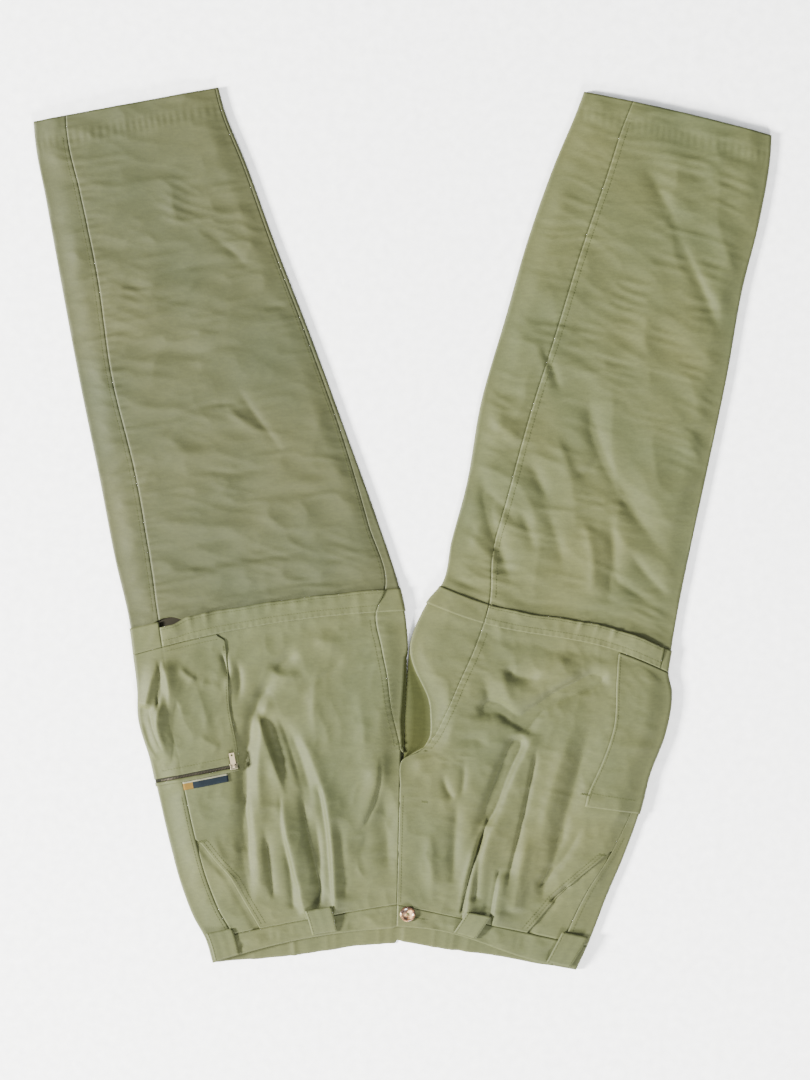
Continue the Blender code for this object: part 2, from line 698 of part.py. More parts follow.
def build_waistband():
    """Two front halves, the left one running on beneath the right, and a gathered back."""
    left_rows = band_rows(LEFT, 10.0, 9.0)
    right_rows = band_rows(RIGHT, 8.0, 8.0)
    left_width = width(LEFT, left_rows)
    right_width = width(RIGHT, right_rows)
    left_seam = out_seam(LEFT, left_rows) + SEAM / left_width
    right_seam = out_seam(RIGHT, right_rows) + SEAM / right_width
    columns = [top(LEFT, left_rows, u) for u in spaced(left_seam, 1.0 - 5.0 / left_width, 7)]
    lap = spaced(np.ones(4), 1.0 - UNDERLAP / right_width, 3)
    columns += [top(RIGHT, right_rows, u, -LAYER - 0.2) for u in lap]
    cloth("waistband_left_front", [stack(columns)])
    columns = [top(RIGHT, right_rows, u) for u in spaced(right_seam, 1.0 - SEAM / right_width, 8)]
    cloth("waistband_right_front", [stack(columns)])
    left_half = band_half(LEFT, left_rows)
    right_half = band_half(RIGHT, right_rows)
    middle = (left_half[-1] + right_half[-1]) / 2
    cloth("waistband_back", [stack(left_half[:-1] + [middle] + right_half[-2::-1])])


def band_rows(side, first, last):
    return np.array([side["waist"] + SEAM, side["waist"] + first, side["edge"] - last, side["edge"]])


def band_half(side, rows):
    """Half of the gathered back waistband, from the side seam on top round to the centre back."""
    length = width(side, rows)
    below = width(side, rows, below=True)
    seam = out_seam(side, rows) - SEAM / length
    columns = [top(side, rows, u) for u in spaced(seam, TURN / length, 2)]
    columns += [turn(side, rows, False, math.pi * share) for share in (0.25, 0.5, 0.75)]
    for k, u in enumerate(spaced(TURN / below, np.ones(rows.shape), 2 * GATHERS)):
        points = bottom(side, rows, u)
        points[..., 2] += np.array([0.3, 1.0, 1.0, 0.7]) * (GATHER_RISE if k % 2 == 1 else 0.0)
        columns.append(points)
    return columns


def build_fly_shield():
    rows = np.linspace(840.0, 976.0, 6)
    left_width = width(LEFT, rows)
    right_width = width(RIGHT, rows)
    columns = [top(LEFT, rows, 1.0 - inset / left_width, -SUNK) for inset in (SHIELD_OVER, 1.0)]
    for inset in (SHIELD_UNDER / 2, SHIELD_UNDER):
        columns.append(top(RIGHT, rows, 1.0 - inset / right_width, -SUNK - 0.2))
    cloth("fly_shield", [stack(columns)])


def build_belt_loop(name, side, first, last, lean, start, end):
    """A wide loop over the waistband, flat across and a little bowed along."""
    rows = np.linspace(start, end, 5)
    share = (rows - start) / (end - start)
    low = first + lean * share
    high = last + lean * share
    step = (end - start) / 8
    ridge = np.full(rows.shape, -1e9)
    for shift in (-step, -step / 2, 0.0, step / 2, step):
        near = np.clip(rows + shift, start, end)
        for u in spaced(low, high, 12):
            ridge = np.maximum(ridge, top(side, near, u)[..., 2])
    grid = stack([top(side, rows, u) for u in spaced(low, high, 4)])
    grid[..., 2] = (ridge + LAYER + 0.05 + 1.0 * np.sin(math.pi * share))[:, None]
    cloth(name, [grid])


def spot(x, y, z):
    """A place given in millimetres, in metres from the origin."""
    return Vector(((x - CENTRE_X) * MM, (y - CENTRE_Y) * MM, z * MM))


def boxed(name, size, finish, bevel=0.0):
    """A box sized in millimetres, with rounded edges."""
    bpy.ops.mesh.primitive_cube_add(size=1.0)
    piece = bpy.context.active_object
    piece.name = name
    piece.data.name = name
    piece.data.transform(Matrix.Diagonal((size[0] * MM, size[1] * MM, size[2] * MM, 1.0)))
    piece.data.materials.append(finish)
    if bevel:
        edge = piece.modifiers.new("edge", "BEVEL")
        edge.width = bevel * MM
        edge.segments = 2
    put(piece)
    return piece


def drum(name, radius, depth, vertices=24):
    """A cylinder sized in millimetres."""
    bpy.ops.mesh.primitive_cylinder_add(vertices=vertices, radius=radius * MM, depth=depth * MM)
    piece = bpy.context.active_object
    piece.name = name
    piece.data.name = name
    put(piece)
    return piece


def combine(piece, other, operation):
    """Join or cut with another object, which stays as a hidden guide."""
    step = piece.modifiers.new(other.name, "BOOLEAN")
    step.operation = operation
    step.object = other
    other.hide_render = True
    other.display_type = "WIRE"
    put(other, "guides")


def build_button():
    """Round button with a dished face and four holes, on the waistband."""
    rows = np.linspace(RIGHT["waist"] + 1.0, RIGHT["edge"] - 1.0, 9)[:, None]
    band = top(RIGHT, rows, 1.0 - np.linspace(0.5, 26.0, 9)[None] / width(RIGHT, rows))
    level = band[..., 2].max() + WALL / 2 + GAP
    button = drum("button", BUTTON_RADIUS, BUTTON_HEIGHT, 32)
    button.location = spot(*BUTTON_PLACE, level + BUTTON_HEIGHT / 2)
    button.data.materials.append(material("horn", (0.18, 0.10, 0.05), 0.3))
    dish = drum("button_dish", BUTTON_RADIUS - 2.0, 2.0)
    dish.location = spot(*BUTTON_PLACE, level + BUTTON_HEIGHT + 0.2)
    combine(button, dish, "DIFFERENCE")
    for k in range(4):
        angle = math.pi / 4 + k * math.pi / 2
        hole = drum("button_hole_%d" % k, 0.9, 8.0, 10)
        across = HOLE_RING * MM * Vector((math.cos(angle), math.sin(angle), 0.0))
        hole.location = button.location + across
        combine(button, hole, "DIFFERENCE")


def build_zip_pull():
    """Slider of the cargo pocket's zip, with its pull tab lying back over the pocket."""
    place = top(LEFT, SLIDER_RUN, SLIDER_U)
    ahead = top(LEFT, SLIDER_RUN, SLIDER_U + 0.012) - top(LEFT, SLIDER_RUN, SLIDER_U - 0.018)
    angle = math.atan2(ahead[1], ahead[0])
    base = place[2] + LAYER + WALL / 2 + GAP
    metal = material("zip_metal", (0.45, 0.42, 0.35), 0.35, 0.9)
    slider = boxed("left_cargo_slider", (9.0, 7.0, 1.8), metal, 0.4)
    slider.location = spot(place[0], place[1], base + 0.9)
    slider.rotation_euler.z = angle
    axis = spot(place[0], place[1], base + 1.8 + EYE_RADIUS + 0.35)
    along_axis = Vector((math.cos(angle), math.sin(angle), 0.0))
    for end in (-1, 1):
        lug = boxed("slider_lug_%d" % (end + 1), (1.2, 2.6, 4.0), metal)
        lug.location = axis + end * LUG_REACH * MM * along_axis - Vector((0.0, 0.0, MM))
        lug.rotation_euler.z = angle
        combine(slider, lug, "UNION")
    bar = drum("slider_bar", 0.5, 5.0, 12)
    bar.location = axis
    bar.rotation_euler = (0.0, math.pi / 2, angle)
    combine(slider, bar, "UNION")
    build_pull_tab(axis, angle, metal)


def build_pull_tab(axis, angle, metal):
    """The tab's pieces all hang on an empty that lies on the hinge's axis."""
    hinge = bpy.data.objects.new("pull_tab_hinge", None)
    hinge.location = axis
    hinge.rotation_euler = (PULL_TILT, 0.0, angle)
    put(hinge)
    tab = boxed("left_cargo_pull", TAB_SIZE, material("pull_brass", (0.55, 0.46, 0.30), 0.4, 0.6))
    neck = boxed("pull_neck", NECK_SIZE, metal)
    eye = drum("pull_eye", EYE_RADIUS, 2.6, 16)
    bore = drum("pull_bore", 0.85, 4.0, 16)
    hole = drum("pull_hole", 1.3, 4.0, 16)
    for piece, reach in ((tab, TAB_REACH), (neck, NECK_REACH), (eye, 0.0), (bore, 0.0), (hole, HOLE_REACH)):
        piece.parent = hinge
        piece.location = (0.0, reach * MM, 0.0)
    for piece in (eye, bore):
        piece.rotation_euler.y = math.pi / 2
    combine(tab, neck, "UNION")
    combine(tab, eye, "UNION")
    combine(tab, bore, "DIFFERENCE")
    combine(tab, hole, "DIFFERENCE")


def build_knee_sliders():
    """Slider of each knee zip, near the outer end under the raised flap."""
    metal = material("zip_metal", (0.45, 0.42, 0.35), 0.35, 0.9)
    for side in SIDES:
        run = (side["zip"][0] + side["zip"][1]) / 2
        rows = np.array([[run - 4.0], [run], [run + 4.0]])
        around = top(side, rows, np.array([[0.14, 0.155, 0.17]]))
        height = around[..., 2].max() + WALL / 2 + GAP + 0.5
        slider = boxed(side["name"] + "_knee_slider", (7.0, 5.0, 1.0), metal)
        slider.location = spot(around[1, 1, 0], around[1, 1, 1], height)
        slider.rotation_euler.z = -0.16 * side["sign"]


def clear_scene():
    for old in list(bpy.data.objects):
        bpy.data.objects.remove(old, do_unlink=True)


def main():
    clear_scene()
    for side in SIDES:
        build_leg(side)
        build_flap(side)
        build_seat(side)
        build_pocket_facing(side)
    build_left_pocket()
    build_right_pocket()
    build_waistband()
    build_fly_shield()
    build_belt_loop("left_outer_belt_loop", LEFT, 0.014, 0.150, 0.0, 974.0, 1010.0)
    build_belt_loop("left_inner_belt_loop", LEFT, 0.530, 0.665, 0.02, 970.0, 1007.0)
    build_belt_loop("right_inner_belt_loop", RIGHT, 0.517, 0.640, 0.05, 970.0, 1003.0)
    build_belt_loop("right_outer_belt_loop", RIGHT, 0.014, 0.148, 0.02, 972.0, 1004.0)
    build_button()
    build_zip_pull()
    build_knee_sliders()


main()
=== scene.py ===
"""Looks of the convertible trousers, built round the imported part."""

import math
from types import SimpleNamespace

import bmesh
import bpy
import numpy as np
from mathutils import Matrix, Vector


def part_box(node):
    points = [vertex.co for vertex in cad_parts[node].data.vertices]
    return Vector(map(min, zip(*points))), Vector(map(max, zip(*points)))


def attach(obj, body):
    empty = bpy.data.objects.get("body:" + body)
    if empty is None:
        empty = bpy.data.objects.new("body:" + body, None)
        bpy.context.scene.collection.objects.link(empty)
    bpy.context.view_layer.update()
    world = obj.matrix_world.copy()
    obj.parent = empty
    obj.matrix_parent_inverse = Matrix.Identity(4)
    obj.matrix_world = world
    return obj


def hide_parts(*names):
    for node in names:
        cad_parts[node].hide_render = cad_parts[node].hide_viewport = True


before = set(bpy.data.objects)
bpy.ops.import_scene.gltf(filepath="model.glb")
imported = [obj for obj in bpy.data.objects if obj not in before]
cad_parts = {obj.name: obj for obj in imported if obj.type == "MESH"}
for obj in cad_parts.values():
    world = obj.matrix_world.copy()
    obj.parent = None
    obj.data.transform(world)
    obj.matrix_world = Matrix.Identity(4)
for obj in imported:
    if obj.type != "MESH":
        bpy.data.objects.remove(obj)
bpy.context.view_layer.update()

MM = 0.001
WALL = 1.0
GAP = 0.3
LAYER = WALL + GAP
TURN = 2.2
SEAM = 0.06
CENTRE_X = 0.0
CENTRE_Y = 0.45
KNEE_PUFF = 1.5
LAP_RISE = 1.0
LAP_WIDTH = 22.0
LOWEST_RELIEF = -0.9
FOLD_GAIN = 1.45
RIGHT_GAIN = 1.3
EDGE_FADE = 26.0
VALLEY_FLOOR = 2.2
# Faces inside these bounds, low in the valley between the legs, get the darker cloth: painted shade
VALLEY_X = 12.0
VALLEY_HALF = 26.0
VALLEY_Y = (-272.0, -138.45)
VALLEY_Z = (2.0, 4.0)
UPPER_LAYER = 4.4
ZIP_REACH = 9.0
ZIP_SUNK = 1.4
ZIP_DRAWN_IN = 0.004
STITCH_CLEAR = WALL / 2 + 0.1
UNDERLAP = 34.0
SHIELD_OVER = 10.0
SHIELD_UNDER = 32.0
SHIELD_RUN = (840.0, 976.0)
FACING_HIDDEN = 12.0
SUNK = 1.9
FACING_SUNK = 1.35
POCKET_UNDER = 0.15
ZIP_RUN = 785.0
WELT_RUN = 789.7
LABEL_RUN = (794.6, 804.5)
LABEL_PLACE = (0.106, 0.29)
LABEL_END = 0.21
LIFT_REACH = 0.20
STEP = 2.4
FINE_STEP = 1.9
POCKET_STEP = 1.3
COARSE = 2.5 * STEP


def table(names, text):
    """Named columns of a short table of numbers."""
    rows = np.loadtxt(text.splitlines(), ndmin=2)
    return {name: rows[:, k].copy() for k, name in enumerate(names)}


SECTION = ("run", "outer_x", "outer_y", "inner_x", "inner_y", "bow", "sway", "out_seam", "in_seam")

LEFT_SECTIONS = table(SECTION, """
0 -432 477 -216 517 0 0 0.176 0.985
21 -430 455 -211 497 1 0 0.172 0.985
95 -417 385 -183 426 0 0 0.172 0.985
191 -400 291 -150 335 0 0 0.17 0.985
311 -378 174 -106 221 0 0 0.138 0.985
433 -354 57 -63 103 0 0 0.143 0.982
531 -336 -36 -29 8 1 0 0.13 0.964
612 -318 -116 -4 -69 6 0 0.107 0.948
642 -314 -147 2 -96 10 0 0.107 0.897
682 -309 -188 6 -136 5 0 0.107 0.904
713 -308 -221 5 -165 0 0 0.106 0.925
760 -294 -270 2 -209 0 0 0.106 0.95
806 -285 -312 -2 -259 0 0 0.108 0.998
869 -270 -376 -4 -321 0 0 0.112 1
920 -257 -422 -5 -376 0 0 0.12 1
951 -245 -453 -6 -406 0 0 0.128 1
982 -230 -481 -6 -439 2 0 0.138 1
1011 -222 -508 -6 -467 8 0 0.138 1
""")

RIGHT_SECTIONS = table(SECTION, """
0 432 461 213 512 2 0 0.03 0.741
20 431 441 206 493 1 0 0.03 0.752
93 419 367 178 426 0 0 0.03 0.748
186 397 277 147 338 0 0 0.03 0.754
283 380 181 120 244 0 0 0.03 0.77
381 360 85 93 151 0 0 0.03 0.785
490 337 -22 74 46 0 0 0.03 0.818
549 325 -80 58 -13 0 2 0.03 0.82
608 314 -142 45 -67 1 6 0.03 0.785
633 310 -167 29 -87 2 6 0.03 0.76
670 314 -191 9 -136 0 3 0.03 0.767
732 306 -241 31 -208 0 0 0.03 0.92
785 287 -292 22 -259 0 0 0.03 0.998
808 281 -317 -1 -271 0 0 0.03 1
834 275 -338 -3 -302 0 0 0.035 1
885 257 -387 -4 -352 0 0 0.062 1
928 239 -429 -5 -394 0 0 0.098 1
981 216 -488 -6 -439 0 0 0.125 1
1006 203 -516 -6 -465 4 -4 0.13 1
""")

MOUTH = ("run", "u")
LEFT_MOUTH = table(MOUTH, """
862 0.112
868 0.130
895 0.180
917 0.227
955 0.265
982 0.283
""")
RIGHT_MOUTH = table(MOUTH, """
878 0.066
893 0.105
937 0.223
960 0.270
981 0.316
""")

# Loose height of the top layer over the bottom one, by place down the garment
PUFF = table(("y", "height"), """
-520 2.0
-445 2.5
-390 5.0
-220 5.0
-100 2.5
20 3.0
520 2.0
""")

# Folds of the upper layer, each a smooth line through three points with a rise or a dip across it.
# "left" and "right" are the widths on either hand, looking from the start to the end.
FOLD = ("start_x", "start_y", "mid_x", "mid_y", "end_x", "end_y",
        "height", "left", "right", "start_fade", "end_fade")
FOLDS = table(FOLD, """
-150 -168 -184 -268 -177 -415 -4.4 12 9 0.15 0.2
-152 -185 -168 -262 -162 -360 3 8 8 0.2 0.4
-164 -208 -150 -247 -127 -311 -3 10 7 0.25 0.4
-120 -143 -139 -156 -160 -176 -3 9 9 0.4 0.4
-120 -290 -109 -344 -95 -424 -2.5 8 8 0.3 0.3
-148 -301 -133 -371 -114 -448 4 16 5 0.4 0
-99 -301 -85 -352 -82 -443 4.5 18 5 0.4 0
-31 -257 -31 -300 -59 -362 3 12 14 0.4 0.4
-25 -290 -19 -356 -17 -411 -2.5 10 12 0.3 0.3
245 -168 161 -207 137 -247 -5 12 12 0.2 0.3
225 -170 175 -190 120 -250 3 14 14 0.3 0.4
139 -242 118 -292 80 -387 -4 10 10 0.2 0.3
226 -204 194 -322 172 -392 -2.2 12 10 0.3 0.3
77 -225 114 -211 136 -239 -4 9 9 0.35 0.3
123 -157 137 -173 185 -174 -2.5 8 8 0.3 0.4
121 -295 84 -381 71 -448 4.5 18 5 0.3 0
115 -397 111 -422 106 -453 4 16 5 0.4 0
65 -310 61 -364 59 -428 -2 8 8 0.3 0.3
278 438 328 338 381 206 -2.5 12 10 0.3 0.2
292 425 340 330 384 235 1.5 14 10 0.4 0.3
222 163 238 75 325 -53 -3 12 10 0.3 0.3
238 47 247 -36 235 -91 -2.5 9 9 0.4 0.3
144 89 161 54 174 25 -2 8 8 0.4 0.4
88 73 105 4 132 -78 -3 10 10 0.3 0.3
97 132 120 116 140 94 2 10 10 0.4 0.4
135 29 147 -1 157 -32 -2 8 8 0.4 0.4
137 297 184 268 231 280 1.5 14 14 0.5 0.5
-377 347 -331 326 -284 356 -1.5 12 12 0.5 0.5
-366 268 -295 274 -202 303 1.5 12 12 0.4 0.4
-342 192 -272 209 -202 198 -1.5 12 12 0.4 0.4
-307 104 -237 87 -167 104 1.5 12 12 0.4 0.4
-295 -54 -202 -36 -120 -19 -2 14 12 0.4 0.4
""")

# Smaller creases between the folds
CREASES = table(FOLD, """
# crisp lines of the pleats
-184 -276 -183 -320 -176 -424 -1.6 3 4 0.35 0.2
-143 -306 -138 -364 -119 -432 -1.7 2.2 4 0.2 0.1
-102 -296 -90 -342 -82 -444 -2.8 2.2 5 0.25 0
-119 -304 -109 -364 -93 -432 -1.3 2.2 4 0.2 0.1
-27 -262 -30 -312 -56 -364 -1.6 3 3 0.3 0.3
-232 -86 -190 -79 -140 -73 -3.2 9 4 0.3 0.3
-158 -158 -140 -172 -118 -166 2 6 7 0.3 0.3
-214 -140 -207 -158 -203 -178 -2.2 4 4 0.3 0.3
84 -214 112 -206 132 -232 -2.2 4 6 0.3 0.3
118 -302 86 -378 70 -448 -2.4 5 2.2 0.2 0
113 -396 108 -422 103 -452 -1.8 5 2.2 0.2 0
158 -250 142 -330 118 -430 -1.6 4 2.4 0.2 0.2
244 -174 176 -198 141 -240 -2.6 7 9 0.1 0.1
141 -240 116 -294 98 -356 -3.4 5 8 0.1 0.2
98 -350 80 -396 70 -446 -2.4 3 5 0.2 0
196 -415 184 -426 172 -437 -2 2.5 3 0.2 0.2
# left front of the seat
-172 -212 -156 -258 -136 -318 3 3 9 0.2 0.3
-146 -216 -130 -262 -116 -312 -2.2 9 4 0.2 0.4
-92 -150 -104 -200 -96 -262 1.6 10 6 0.4 0.4
-70 -142 -88 -170 -128 -186 -1.6 6 9 0.3 0.4
-108 -118 -90 -132 -60 -128 1.4 8 8 0.4 0.4
-196 -150 -190 -180 -196 -206 -1.8 4 5 0.3 0.4
-205 -146 -201 -168 -207 -196 1.4 5 5 0.3 0.4
-180 -300 -172 -360 -163 -436 2 9 9 0.3 0.2
-196 -340 -184 -400 -176 -440 -1.4 7 7 0.3 0.3
-162 -340 -156 -395 -150 -434 -2.4 6 4 0.3 0.2
-139 -360 -131 -405 -128 -446 -1.8 5 5 0.3 0.1
-104 -330 -97 -385 -98 -446 -2.2 5 5 0.3 0.1
-77 -330 -71 -385 -66 -438 -2.2 7 7 0.3 0.2
-122 -235 -101 -282 -86 -330 2.2 10 5 0.3 0.3
-140 -222 -118 -270 -105 -330 -1.8 6 6 0.3 0.3
-52 -180 -46 -230 -40 -290 1.4 12 9 0.4 0.4
-40 -330 -46 -372 -60 -410 -1.2 8 8 0.4 0.4
-225 -300 -190 -322 -150 -318 0.9 12 12 0.4 0.4
-222 -352 -208 -392 -186 -430 1.2 6 8 0.3 0.3
# right front of the seat
205 -150 170 -166 150 -188 1.8 8 9 0.3 0.4
150 -128 170 -140 200 -140 -1.8 6 7 0.4 0.4
118 -150 122 -190 138 -214 1.4 9 9 0.4 0.4
90 -168 100 -196 96 -220 -1.2 7 7 0.4 0.4
160 -236 136 -276 112 -330 2 12 6 0.3 0.4
208 -216 176 -300 160 -380 1.8 12 10 0.3 0.3
196 -330 176 -390 160 -440 -1.8 8 8 0.3 0.2
150 -350 138 -400 130 -450 2 10 8 0.3 0.1
98 -330 90 -380 84 -440 -2.4 5 6 0.3 0.1
60 -252 84 -246 104 -258 -1.2 6 7 0.4 0.4
46 -280 52 -304 62 -316 -1.6 4 5 0.4 0.3
70 -262 72 -290 66 -316 -1.2 4 5 0.4 0.3
30 -340 34 -390 34 -440 1 8 8 0.4 0.3
210 -345 192 -380 168 -408 -1.6 5 7 0.3 0.3
178 -392 168 -408 158 -420 -2.2 3 4 0.3 0.3
# right lower leg
150 262 190 240 236 250 -1 10 12 0.4 0.4
160 215 176 186 186 152 -1.4 5 6 0.3 0.4
150 228 166 190 172 150 1 6 6 0.3 0.4
176 116 190 84 196 60 1.4 6 8 0.4 0.4
196 76 214 66 230 88 -1.6 5 7 0.4 0.4
112 84 140 96 160 84 -1.4 6 8 0.3 0.4
92 40 116 28 138 -4 -1.8 6 8 0.3 0.4
78 -6 96 -26 120 -40 1.6 8 8 0.3 0.4
160 40 180 -10 190 -60 -1.4 8 8 0.4 0.4
206 20 222 -30 220 -84 1.6 8 6 0.4 0.3
262 -20 290 -58 318 -80 -2 6 9 0.3 0.3
250 110 292 40 322 -14 1.4 14 12 0.4 0.4
240 -60 262 -68 300 -96 -1.4 6 7 0.3 0.3
100 150 126 158 150 150 -1.2 8 9 0.3 0.4
122 200 146 196 168 206 1 8 10 0.4 0.4
298 398 340 316 372 252 1.2 6 6 0.4 0.4
60 8 78 2 92 12 -1.4 5 6 0.3 0.4
# left lower leg
-300 300 -250 306 -196 318 -1.2 5 7 0.4 0.4
-352 236 -300 246 -240 262 1 5 6 0.4 0.4
-240 348 -206 330 -176 300 -1.2 6 6 0.4 0.4
-268 128 -222 146 -176 138 -1.3 4 6 0.3 0.4
-210 152 -172 118 -110 112 1.3 5 6 0.3 0.4
-196 170 -170 130 -128 76 -1.2 5 7 0.4 0.4
-330 152 -280 140 -232 150 1 5 6 0.4 0.4
-250 74 -200 66 -140 78 -1.2 5 6 0.4 0.4
-300 22 -240 4 -170 12 1.2 7 8 0.4 0.4
-290 -30 -220 -14 -140 -2 -1.4 6 8 0.4 0.4
-260 -64 -190 -46 -90 -40 1.2 6 7 0.4 0.4
-180 250 -150 262 -124 250 -1 5 6 0.4 0.4
-390 408 -340 400 -300 412 0.8 6 8 0.4 0.4
""")

# Bellows of the left cargo pocket, which only ever stand above the cloth below them
POCKET_FOLDS = table(FOLD, """
-285 -150 -294 -180 -301 -211 7 6.5 9 0.6 0.12
-284 -150 -284 -180 -286 -213 -3 1.8 2.2 0.2 0.15
-283 -152 -274 -180 -270 -222 6 12 5 0.35 0.5
-276 -192 -287 -236 -267 -274 8 8 9 0.3 0.35
-264 -198 -263 -238 -266 -275 -4 1.8 2.6 0.3 0.1
-296 -206 -289 -238 -277 -264 -3 3 3 0.3 0.3
-262 -160 -250 -172 -240 -176 2.2 4 5 0.3 0.3
-306 -222 -299 -250 -284 -272 2.4 4 5 0.3 0.2
-240 -240 -225 -250 -212 -256 1.2 5 6 0.3 0.3
-238 -176 -226 -182 -214 -180 1 5 6 0.3 0.3
-236 -200 -228 -222 -222 -244 0.9 7 6 0.4 0.4
""")

LEFT = SimpleNamespace(
    name="left", sign=-1.0, sections=LEFT_SECTIONS, mouth=LEFT_MOUTH,
    flap=(612.0, 642.0), zip=(618.0, 633.0), apex=682.0, crotch=806.0, fly=806.0,
    waist=982.0, edge=1011.0, pocket=(642.5, 794.0), pocket_edge=(0.337, 0.337),
    leg_seam=None,
    flap_notch=7.0, flap_tucks=(0.22, 0.28), shoulder=5.0,
)
RIGHT = SimpleNamespace(
    name="right", sign=1.0, sections=RIGHT_SECTIONS, mouth=RIGHT_MOUTH,
    flap=(608.0, 633.0), zip=(611.5, 625.0), apex=670.0, crotch=785.0, fly=834.0,
    waist=981.0, edge=1006.0, pocket=(634.0, 828.0), pocket_edge=(0.207, 0.240),
    leg_seam=-0.06,
    flap_notch=0.0, flap_tucks=(0.25, 0.32, 0.39), shoulder=2.5,
)
SIDES = (LEFT, RIGHT)


def smooth(value):
    value = np.clip(value, 0.0, 1.0)
    return value * value * (3.0 - 2.0 * value)


def window(value, low, high, ramp):
    """1 from low to high, falling to 0 over the ramp on either side."""
    return smooth((value - low) / ramp + 1.0) * smooth((high - value) / ramp + 1.0)


def along(section, name, run):
    """Smooth curve through one column of a section table."""
    knots = section["run"]
    values = section[name]
    slopes = np.gradient(values, knots)
    run = np.asarray(run, float)
    k = np.clip(np.searchsorted(knots, run, side="right") - 1, 0, len(knots) - 2)
    step = knots[k + 1] - knots[k]
    t = (run - knots[k]) / step
    start = (1 + 2 * t) * (1 - t) ** 2 * values[k] + t * (1 - t) ** 2 * step * slopes[k]
    end = t * t * (3 - 2 * t) * values[k + 1] + t * t * (t - 1) * step * slopes[k + 1]
    return start + end


def centre_front(y):
    return -2.3 + 0.0229 * (y + 258.6)


def centre_back(y):
    return 6.4 + 0.0401 * (y + 135.7)


def ends(side, run):
    """Outer and inner ends of the section lines of the top layer, and the inner ends below."""
    section = side.sections
    outer = np.stack([along(section, "outer_x", run), along(section, "outer_y", run)], -1)
    inner = np.stack([along(section, "inner_x", run), along(section, "inner_y", run)], -1)
    inner[..., 0] = np.where(run > side.fly, centre_front(inner[..., 1]), inner[..., 0])
    drop = 12.0 * smooth((run - 860.0) / 115.0) + 4.0 * smooth((run - side.waist) / 25.0)
    below_y = inner[..., 1] - drop
    split = (run > side.apex + 1.0)[..., None]
    below = np.where(split, np.stack([centre_back(below_y), below_y], -1), inner)
    return outer, inner, below


def width(side, run, below=False):
    outer, inner, centre = ends(side, run)
    return np.linalg.norm((centre if below else inner) - outer, axis=-1)


def plan(side, run, u, below=False):
    """Place on the flat of a point of the tube, seen from above."""
    outer, inner, centre = ends(side, run)
    across = (centre if below else inner) - outer
    length = np.linalg.norm(across, axis=-1)[..., None]
    normal = np.stack([-across[..., 1], across[..., 0]], -1) / length
    normal = normal * np.sign(normal[..., 1:2])
    if below:
        return outer + across * u[..., None]
    bow = along(side.sections, "bow", run) * 4.0 * u * (1.0 - u)
    sway = along(side.sections, "sway", run) * np.sin(2.0 * math.pi * np.clip(u, 0.0, 1.0))
    return outer + across * u[..., None] + normal * (bow + sway)[..., None]


def relief(folds, x, y):
    """Height that a table of folds adds at each place."""
    total = np.zeros(np.shape(x))
    steps = 8
    s = np.linspace(0.0, 1.0, steps + 1)
    blend = ((1 - s) * (1 - 2 * s), 4 * s * (1 - s), s * (2 * s - 1))
    for k in range(len(folds["height"])):
        row = {name: folds[name][k] for name in FOLD}
        path_x, path_y = (
            blend[0] * row["start_" + axis] + blend[1] * row["mid_" + axis] + blend[2] * row["end_" + axis]
            for axis in "xy")
        reach = 3.2 * max(row["left"], row["right"])
        near = (x > path_x.min() - reach) & (x < path_x.max() + reach)
        near &= (y > path_y.min() - reach) & (y < path_y.max() + reach)
        if not near.any():
            continue
        px, py = x[near], y[near]
        best = np.full(px.shape, 1e9)
        place = np.zeros(px.shape)
        hand = np.zeros(px.shape)
        for n in range(steps):
            dx = path_x[n + 1] - path_x[n]
            dy = path_y[n + 1] - path_y[n]
            t = np.clip(((px - path_x[n]) * dx + (py - path_y[n]) * dy) / (dx * dx + dy * dy), 0, 1)
            off_x = px - path_x[n] - t * dx
            off_y = py - path_y[n] - t * dy
            distance = np.hypot(off_x, off_y)
            nearer = distance < best
            best = np.where(nearer, distance, best)
            place = np.where(nearer, (n + t) / steps, place)
            hand = np.where(nearer, dx * off_y - dy * off_x, hand)
        spread = np.where(hand > 0, row["left"], row["right"])
        fade = np.ones(px.shape)
        for share, length in ((place, row["start_fade"]), (1.0 - place, row["end_fade"])):
            if length > 0:
                fade = fade * smooth(share / length)
        total[near] += row["height"] * fade * np.exp(-np.abs(best / spread) ** 1.6)
    return total


def lift(side, run, u):
    """Height by which the tube stands over what is wrapped beneath it."""
    knee = window(run, side.flap[0] - 4.0, side.flap[1] + 2.0, 14.0)
    pocket = window(run, side.flap[0] - 4.0, side.pocket[1] + 3.0, 14.0)
    reach = 1.0 - smooth((u - LIFT_REACH) / 0.08)
    return LAYER * (knee + (pocket - knee) * reach)


def bottom(side, run, u, out=0.0):
    run, u = np.broadcast_arrays(np.asarray(run, float), np.asarray(u, float))
    place = plan(side, run, u, below=True)
    z = WALL / 2 + lift(side, run, u) - out
    return np.concatenate([place, z[..., None]], -1)


